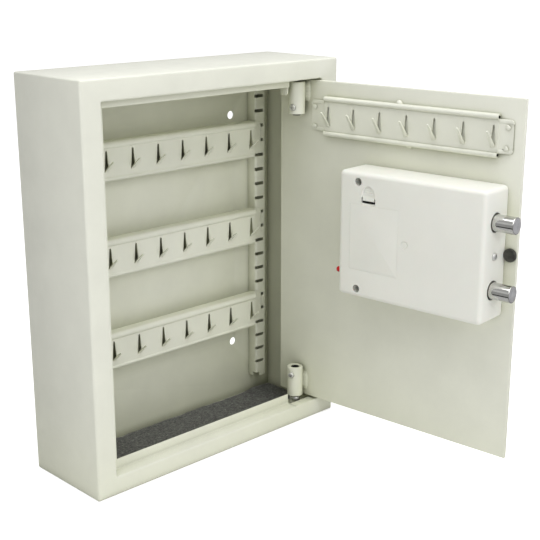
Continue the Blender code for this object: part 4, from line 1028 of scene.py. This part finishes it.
def make_case_shell():
    """The case's cover, hollow, with its holes, battery window, recess and spindle mark."""
    front = CASE_W - CASE_WALL
    low_u, high_u = CASE_U
    latch_low, latch_high = LATCH_U - LATCH_HALF, LATCH_U + LATCH_HALF
    hollow = pad(*spread(CASE_U, CASE_Z, -CASE_WALL), -4, front, 2, 2)
    bolt_holes = [
        rod((high_u - 5, BOLT_W, z), (high_u + 5, BOLT_W, z), 8.8, 64) for z in BOLTS.values()
    ]
    small_holes = [
        rod((high_u - 5, BOLT_W, MID_Z), (high_u + 5, BOLT_W, MID_Z), 2.1),
        rod((low_u - 5, RESET_W, RESET_Z), (low_u + 5, RESET_W, RESET_Z), 3.1),
    ]
    screw_holes = [
        rod((CASE_SCREW_U, 26, z), (CASE_SCREW_U, CASE_W + 4, z), 3.8)
        for z in CASE_SCREWS_Z.values()
    ]
    outline = [
        (BATTERY_U[0], BATTERY_Z[0]), (BATTERY_U[1], BATTERY_Z[0]), (BATTERY_U[1], BATTERY_Z[1]),
        (latch_high, BATTERY_Z[1]), (latch_high, LATCH_TOP), (latch_low, LATCH_TOP),
        (latch_low, BATTERY_Z[1]), (BATTERY_U[0], BATTERY_Z[1]),
    ]
    window = prism(fillet([(u, z, 0.5) for u, z in outline], 3), 1, (front - 3, CASE_W + 3))
    thumb_recess = []
    for depth, inset in ((-1.0, 1.0), (-0.8, 0.45), (0, 0), (3, -0.1)):
        half, foot = LATCH_HALF - 0.8 - inset, LATCH_TOP - 1.5
        arch = arc((LATCH_U, LATCH_TOP + 3.3), half, 0, pi, 16)
        outline = [(LATCH_U + half, foot), *arch, (LATCH_U - half, foot)]
        thumb_recess.append([(u, CASE_W + depth, z) for u, z in outline])
    spindle_mark = turned((SPINDLE_U, CASE_W - 0.6, MID_Z), (SPINDLE_U, CASE_W + 5, MID_Z),
                          [(2.9, 0), (3.5, 0), (4.0, 1.1), (2.6, 1.1)], 40, loop=True)
    cuts = [hollow, bolt_holes, small_holes, screw_holes, window, skin(thumb_recess), spindle_mark]
    piece("case_shell", pad(*spread(CASE_U, CASE_Z), 0.3, CASE_W, 4.5, 4.2), "door",
          "case_plastic", "lock_case", cuts, smooth=32)


def cross_outline(centre, reach, half, tilt=0.0):
    """Outline of a cross recess: how far its arms reach, their half width, and its tilt."""
    points = []
    for quarter in range(4):
        turn = pi / 2 * quarter + tilt
        for a, b in ((reach, -half), (reach, half), (half, half)):
            points.append((centre[0] + a * cos(turn) - b * sin(turn),
                           centre[1] + a * sin(turn) + b * cos(turn)))
    return points


def make_case_screws():
    u, side = CASE_SCREW_U, CASE_U[1]
    profile = [(1.5, 0), (1.5, 25.6), (3.1, 25.6), (3.1, 26.7), (2.7, 27.6), (1.9, 28), (0, 28.2)]
    for name, z in CASE_SCREWS_Z.items():
        recess = rod((u, 29.4, z), (u, 34, z), 0.9, 16)
        slots = prism(cross_outline((u, z), 2.0, 0.38), 1, (29.5, 34))
        piece(f"screw_{name}", turned((u, 2.3, z), (u, 40, z), profile, 40), "door",
              "zinc_steel", f"case_screw_{name}", [recess, slots])

    profile = [(1.7, 0), (1.7, 11.2), (3.6, 11.3), (3.55, 11.7), (3.0, 12.4), (2.0, 12.85),
               (0, 13)]
    head = turned((side - 11, BOLT_W, MID_Z), (side + 9, BOLT_W, MID_Z), profile)
    slots = prism(cross_outline((BOLT_W, MID_Z), 1.9, 0.36, 0.35), 0, (side + 1, side + 4))
    piece("side_screw", head, "door", "bright_zinc", "case_side_screw", [slots])


def make_bolts():
    """Two round bolts, their ends faced in fine turning rings."""
    length = BOLT_TIP - BOLT_TAIL
    bolt = [(0, 0), (BOLT_R - 0.5, 0), (BOLT_R, 0.5), (BOLT_R, length - 1.0)]
    for step in range(1, 5):
        angle = pi / 2 * step / 5
        bolt.append((BOLT_R - 0.8 * (1 - cos(angle)), length - 0.8 * (1 - sin(angle))))
    bolt.append((BOLT_R - 0.9, length - 0.02))
    end_face = [(BOLT_R - 0.95, -0.3), (BOLT_R - 0.95, 0.03)]
    radius = BOLT_R - 1.1
    while radius > 0.5:
        end_face += [(radius, 0.05), (radius - 0.28, 0.015)]
        radius -= 0.56
    end_face.append((0, 0.05))
    for name, z in BOLTS.items():
        tail, tip, beyond = [(u, BOLT_W, z) for u in (BOLT_TAIL, BOLT_TIP, BOLT_TIP + 9)]
        piece(f"bolt_{name}_rod", turned(tail, tip, bolt, 96), "bolts", "chrome",
              f"bolt_{name}", smooth=30)
        piece(f"bolt_{name}_end", turned(tip, beyond, end_face, 96), "bolts", "bolt_end",
              smooth=60)


def make_reset_button():
    profile = [(2.7, 0), (2.7, 8.6)]
    for step in range(1, 7):
        angle = pi / 2 * step / 6
        profile.append((2.7 - 1.5 * (1 - cos(angle)), 8.6 + 1.8 * sin(angle)))
    profile.append((0, 10.5))
    button = turned((RESET_U, RESET_W, RESET_Z), (0, RESET_W, RESET_Z), profile)
    piece("reset_cap", button, "reset", "red_plastic", "reset_button")


def make_cells():
    """Four cells in the holder, facing alternate ways."""
    low_z = BATTERY_Z[0] - 0.4
    pitch = (BATTERY_Z[1] + 0.4 - low_z) / 4
    middle, half = sum(BATTERY_U) / 2, 25.1
    can = [(5.6, 0), (6.7, 0.1), (7.0, 0.6), (7.1, 1.6), (7.1, 48.6), (6.9, 49.6), (6.3, 50.2),
           (0, 50.2)]
    terminals = [(0, -0.05), (5.4, -0.05), (5.4, 50.25), (3.0, 50.3), (2.7, 50.5), (2.7, 51.0),
                 (2.4, 51.2), (0, 51.2)]
    for index in range(4):
        z = low_z + pitch * (index + 0.5)
        flip = 1 if index % 2 else -1
        tail, tip = (middle - flip * half, CELL_W, z), (middle + flip * (half + 20), CELL_W, z)
        piece(f"cell_{index + 1}_wrap", turned(tail, tip, can), "door", "cell_wrap",
              f"battery_cell_{index + 1}")
        piece(f"cell_{index + 1}_core", turned(tail, tip, terminals, 40), "door", "zinc_steel")


# ------------------------------------------------------------------ keypad unit


def key_centres():
    for index, label in enumerate(KEY_LABELS):
        row, column = divmod(index, 3)
        yield label, KEY_U + (1 - column) * KEY_PITCH[0], MID_Z + (1.5 - row) * KEY_PITCH[1]


def make_keypad_unit():
    front, back = UNIT_FRONT, UNIT_BACK
    housing = pad(*spread(UNIT_U, UNIT_Z), back, front, 9, 2.2, steps=10)
    hollow = pad(*spread(UNIT_U, UNIT_Z, -2.5), back + 3, front + 2.5, 6.5, 0.5)
    windows = [
        pad(*around(u, z, KEY_SIZE, 0.35), front + 5, front - 3, 2.2, 0.01, steps=4)
        for _, u, z in key_centres()
    ]
    windows.append(pad(*around(SPINDLE_U, LENS_Z, LENS_SIZE, 0.3), front + 5, front - 3, 1.6, 0.01,
                       steps=4))
    places = ((SPINDLE_U, MID_Z, SPINDLE_HOLE_R), (OVERRIDE_U, MID_Z, OVERRIDE_HOLE_R),
              (OVERRIDE_U, COVER_PIVOT_Z, 1.8))
    holes = [rod((u, front - 4, z), (u, front + 6, z), radius) for u, z, radius in places]

    # A shallow groove frames the block of keys.
    groove = []
    reach_u, reach_z = KEY_PITCH[0] * 1.5 + 0.9, KEY_PITCH[1] * 2 + 0.2
    block = (KEY_U - reach_u, KEY_U + reach_u), (MID_Z - reach_z, MID_Z + reach_z)
    for grow, w in ((0, front + 0.5), (0.9, front + 0.5), (0.9, front - 1), (0, front - 1)):
        outline = rounded_rect(*spread(*block, grow), 3 + grow, 5)
        groove.append([(u, w, z) for u, z in outline])
    piece("keypad_body", housing, "door", "dark_plastic", "keypad_housing",
          [hollow, windows, holes, skin(groove, loop=True)], smooth=32)

    for label, u, z in key_centres():
        body = f"key_{label}_body"
        cap = pad(*around(u, z, KEY_SIZE), KEY_BACK, KEY_TOP, 2, 0.8, dish=0.35, steps=5)
        piece(f"cap_{label}", cap, body, "key_plastic", f"key_{label}", smooth=60)
        add_digit(f"digit_{label}", PRINTED.get(label, label), u, z, body)
    lens = pad(*around(SPINDLE_U, LENS_Z, LENS_SIZE), front + 3, front - 0.4, 1.4, 0.5)
    piece("lens", lens, "door", "lens", "indicator_window")


def add_digit(name, text, u, z, body):
    """A digit printed on a key, facing out of the door's outer face."""
    curve = bpy.data.curves.new(name, "FONT")
    curve.body = text
    curve.size = 8.5 * MM
    curve.extrude = 0.06 * MM
    curve.align_x = "CENTER"
    curve.align_y = "CENTER"
    place = DOOR_MATRIX @ at_door(u, KEY_TOP + 0.33, z)
    lettering = add_object(f"{name}_curve", curve, axes_matrix(-U_AXIS, UP, -W_AXIS, place))
    evaluated = lettering.evaluated_get(bpy.context.evaluated_depsgraph_get())
    mesh = bpy.data.meshes.new_from_object(evaluated)
    made = add_object(name, mesh, lettering.matrix_world)
    bpy.data.objects.remove(lettering)
    dress(made, body, "print")


def make_knob():
    """Disc with a fluted rim, and a waisted grip across it, crowned along its top."""
    back = UNIT_FRONT - 0.5
    levels = [(17.3, 0), (17.5, 0.4), (17.4, 3.2), (16.9, 4.3), (16.2, 4.8), (15.2, 5.0),
              (13.5, 4.7), (9, 4.5)]
    disc = []
    for radius, distance in levels:
        ring = []
        for step in range(120):
            angle = 2 * pi * step / 120
            flute = 0.28 * (1 + cos(angle * 40)) / 2 if 0.3 < distance < 4 else 0
            reach = radius - flute
            ring.append((SPINDLE_U + reach * cos(angle), back - distance,
                         MID_Z + reach * sin(angle)))
        disc.append(ring)
    bore = rod((SPINDLE_U, -27.4, MID_Z), (SPINDLE_U, back + 3, MID_Z), 4.3)

    grip = []
    for step in range(25):
        share = -1 + 2 * step / 24
        fullness = max(max(1 - abs(share) ** 6, 0) ** 0.5, 0.12)
        half = (3.4 + 1.6 * share ** 2) * fullness
        top = -33 + 1.4 * share ** 2 + 3.5 * (1 - fullness) ** 2
        outline = fillet([
            (SPINDLE_U - half - 0.7, -21.6, 0), (SPINDLE_U - half, top, 1.5),
            (SPINDLE_U + half, top, 1.5), (SPINDLE_U + half + 0.7, -21.6, 0),
        ], 5)
        grip.append([(u, w, MID_Z + 15.4 * share) for u, w in outline])
    pointer = pad(*around(SPINDLE_U, MID_Z + 10, (1.2, 5)), -31, -32.75, 0.5, 0.1, steps=4)

    piece("knob_disc", skin(disc), "knob_set", "dark_plastic", "knob", [bore], smooth=32)
    piece("knob_grip", skin(grip), "knob_set", "dark_plastic", cuts=[bore], smooth=50)
    piece("knob_pointer", pointer, "knob_set", "print")


def make_override():
    """Brass lock in a barrel, its cam behind the door, and a swinging cover over the keyhole."""
    front, u, z = UNIT_FRONT, OVERRIDE_U, MID_Z
    profile = [(6.6, 0), (8.4, 0), (9, 0.6), (9, 28.4), (6.3, 28.4), (6.3, 0.3)]
    barrel = turned((u, front + 0.6, z), (u, 20, z), profile, 64, loop=True)
    profile = [(0, 0), (5.6, 0), (6, 0.4), (6, 31.6), (0, 31.6)]
    plug = turned((u, front + 1.2, z), (u, 20, z), profile, 56)
    warded_slot = [(-0.7, -4), (0.7, -4), (0.7, -0.6), (0.1, -0.2), (0.1, 0.8), (0.7, 1.2),
                   (0.7, 4), (-0.7, 4)]
    keyway = prism([(u + a, z + b) for a, b in warded_slot], 1, (front - 2, front + 13))
    cam = fillet([(u - 4, z + 2, 1), (u + 4, z + 2, 1), (u + 4, z - 15, 3.5),
                  (u - 4, z - 15, 3.5)], 6)

    cover = []
    for inset, depth in ((0, 0.3), (0, 1.5), (0.25, 2.0), (0.8, 2.3), (4.5, 2.3), (5.3, 1.9)):
        teardrop = arc((u, z), 11.5 - inset, pi, pi, 24)
        teardrop += arc((u, COVER_PIVOT_Z), max(5.5 - inset, 0.6), 0, pi, 16)
        cover.append([(a, front - depth, b) for a, b in teardrop])
    profile = [(1.5, -4), (1.5, 0), (2.6, 0), (2.5, 0.5), (1.8, 0.9), (0, 1.05)]
    pivot, beyond = (u, front - 1.9, COVER_PIVOT_Z), (u, front - 20, COVER_PIVOT_Z)

    piece("override_barrel", barrel, "door", "brass", "override_cylinder")
    piece("override_core", plug, "override_key_plug", "brass", "override_plug", [keyway])
    piece("override_cam", prism(cam, 1, (12.9, 14.5)), "override_key_plug", "zinc_steel",
          rounded=0.2)
    piece("override_flap", skin(cover), "override_lid", "dark_plastic", "override_cover",
          smooth=50)
    piece("override_rivet", turned(pivot, beyond, profile, 36), "override_lid", "zinc_steel")


# ------------------------------------------------------------------ build

make_shell()
make_back_panel()
make_standard("standard_right", STANDARD_X, 1)
make_standard("standard_left", CAB_W - STANDARD_X, -1)
make_inner_bars()
make_felt_mat()
make_hinge("top")
make_hinge("bottom")
make_door()
make_door_bar()
make_lock_case()
make_case_screws()
make_bolts()
make_reset_button()
make_cells()
make_keypad_unit()
make_knob()
make_override()

slot_of_node = {row["node"]: row["material_slot"] for row in frame["record"]["subparts"]}
for node_name, node in frame["nodes"].items():
    node.data.materials.clear()
    node.data.materials.append(MATERIALS[slot_of_node[node_name]])

# ------------------------------------------------------------------ floor, light, camera


def make_floor():
    low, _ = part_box("cabinet_shell")
    bm = bmesh.new()
    bmesh.ops.create_grid(bm, x_segments=2, y_segments=2, size=12)
    mesh = bpy.data.meshes.new("floor")
    bm.to_mesh(mesh)
    bm.free()
    floor = add_object("floor", mesh)
    floor.location.z = low.z - 0.0002
    floor.visible_glossy = False
    material, tree, shader, coords = graph("pale_floor")
    is_camera = add_node(tree, "LightPath").outputs["Is Camera Ray"]
    fill(tree, shader, {
        "Base Color": (0.86, 0.86, 0.85), "Emission Color": (1, 1, 1),
        "Roughness": ramp(tree, noise_node(tree, coords, 40, 4), 0.65, 0.75),
        "Emission Strength": ramp(tree, is_camera, 0, 0.6, 0, 1),
    })
    mesh.materials.append(material)


def aim(name, data, location, ahead):
    """A light or a camera at a place, looking along a direction."""
    made = add_object(name, data)
    made.location = location
    made.rotation_euler = Vector(ahead).to_track_quat("-Z", "Y").to_euler()
    return made


def area_light(name, location, target, size, power):
    data = bpy.data.lights.new(name, "AREA")
    data.shape = "RECTANGLE"
    data.size, data.size_y = size
    data.energy = power
    aim(name, data, location, Vector(target) - Vector(location))


def make_world():
    """White to the camera, soft to the object, and banded where polished metal mirrors it."""
    world = bpy.data.worlds.new("studio")
    bpy.context.scene.world = world
    world.use_nodes = True
    tree = world.node_tree
    tree.nodes.clear()
    path = add_node(tree, "LightPath")
    coords = add_node(tree, "TexCoord").outputs["Generated"]
    height = add_node(tree, "SeparateXYZ", {"Vector": coords}).outputs["Z"]
    bands = add_node(tree, "ValToRGB", {"Fac": ramp(tree, height, 0, 1, -1, 1)})
    bands.color_ramp.elements[0].color = (0.8, 0.8, 0.8, 1)
    bands.color_ramp.elements[1].color = (1, 1, 1, 1)
    levels = ((0.2, 0.8), (0.23, 0.04), (0.3, 0.04), (0.34, 0.55), (0.55, 0.45), (0.62, 0.85),
              (0.72, 0.9), (0.8, 0.6))
    for position, level in levels:
        bands.color_ramp.elements.new(position).color = (level, level, level, 1)
    soft, mirrored, backdrop = [
        add_node(tree, "Background", {"Color": colour, "Strength": strength}).outputs[0]
        for colour, strength in (((1, 1, 1), 0.585), (bands.outputs["Color"], 0.8), ((1, 1, 1), 1))
    ]
    mixed = soft
    for key, shader in (("Is Glossy Ray", mirrored), ("Is Camera Ray", backdrop)):
        inputs = {"Fac": path.outputs[key], 1: mixed, 2: shader}
        mixed = add_node(tree, "MixShader", inputs).outputs["Shader"]
    add_node(tree, "OutputWorld", {"Surface": mixed})


def make_camera():
    data = bpy.data.cameras.new("camera")
    data.lens = 72.31
    data.sensor_width = 36
    location, ahead = (-0.63638, -0.81211, 0.27394), (0.6693, 0.6897, -0.2762)
    bpy.context.scene.camera = aim("camera", data, location, ahead)


make_floor()
make_world()
area_light("overhead", (-0.2, -0.4, 1.5), (0, -0.1, 0), (1.6, 1.2), 18.5)
area_light("front", (-0.4, -2.1, 1.0), (0, 0, 0), (1.2, 0.9), 12)
make_camera()
bpy.context.scene.view_settings.view_transform = "Standard"
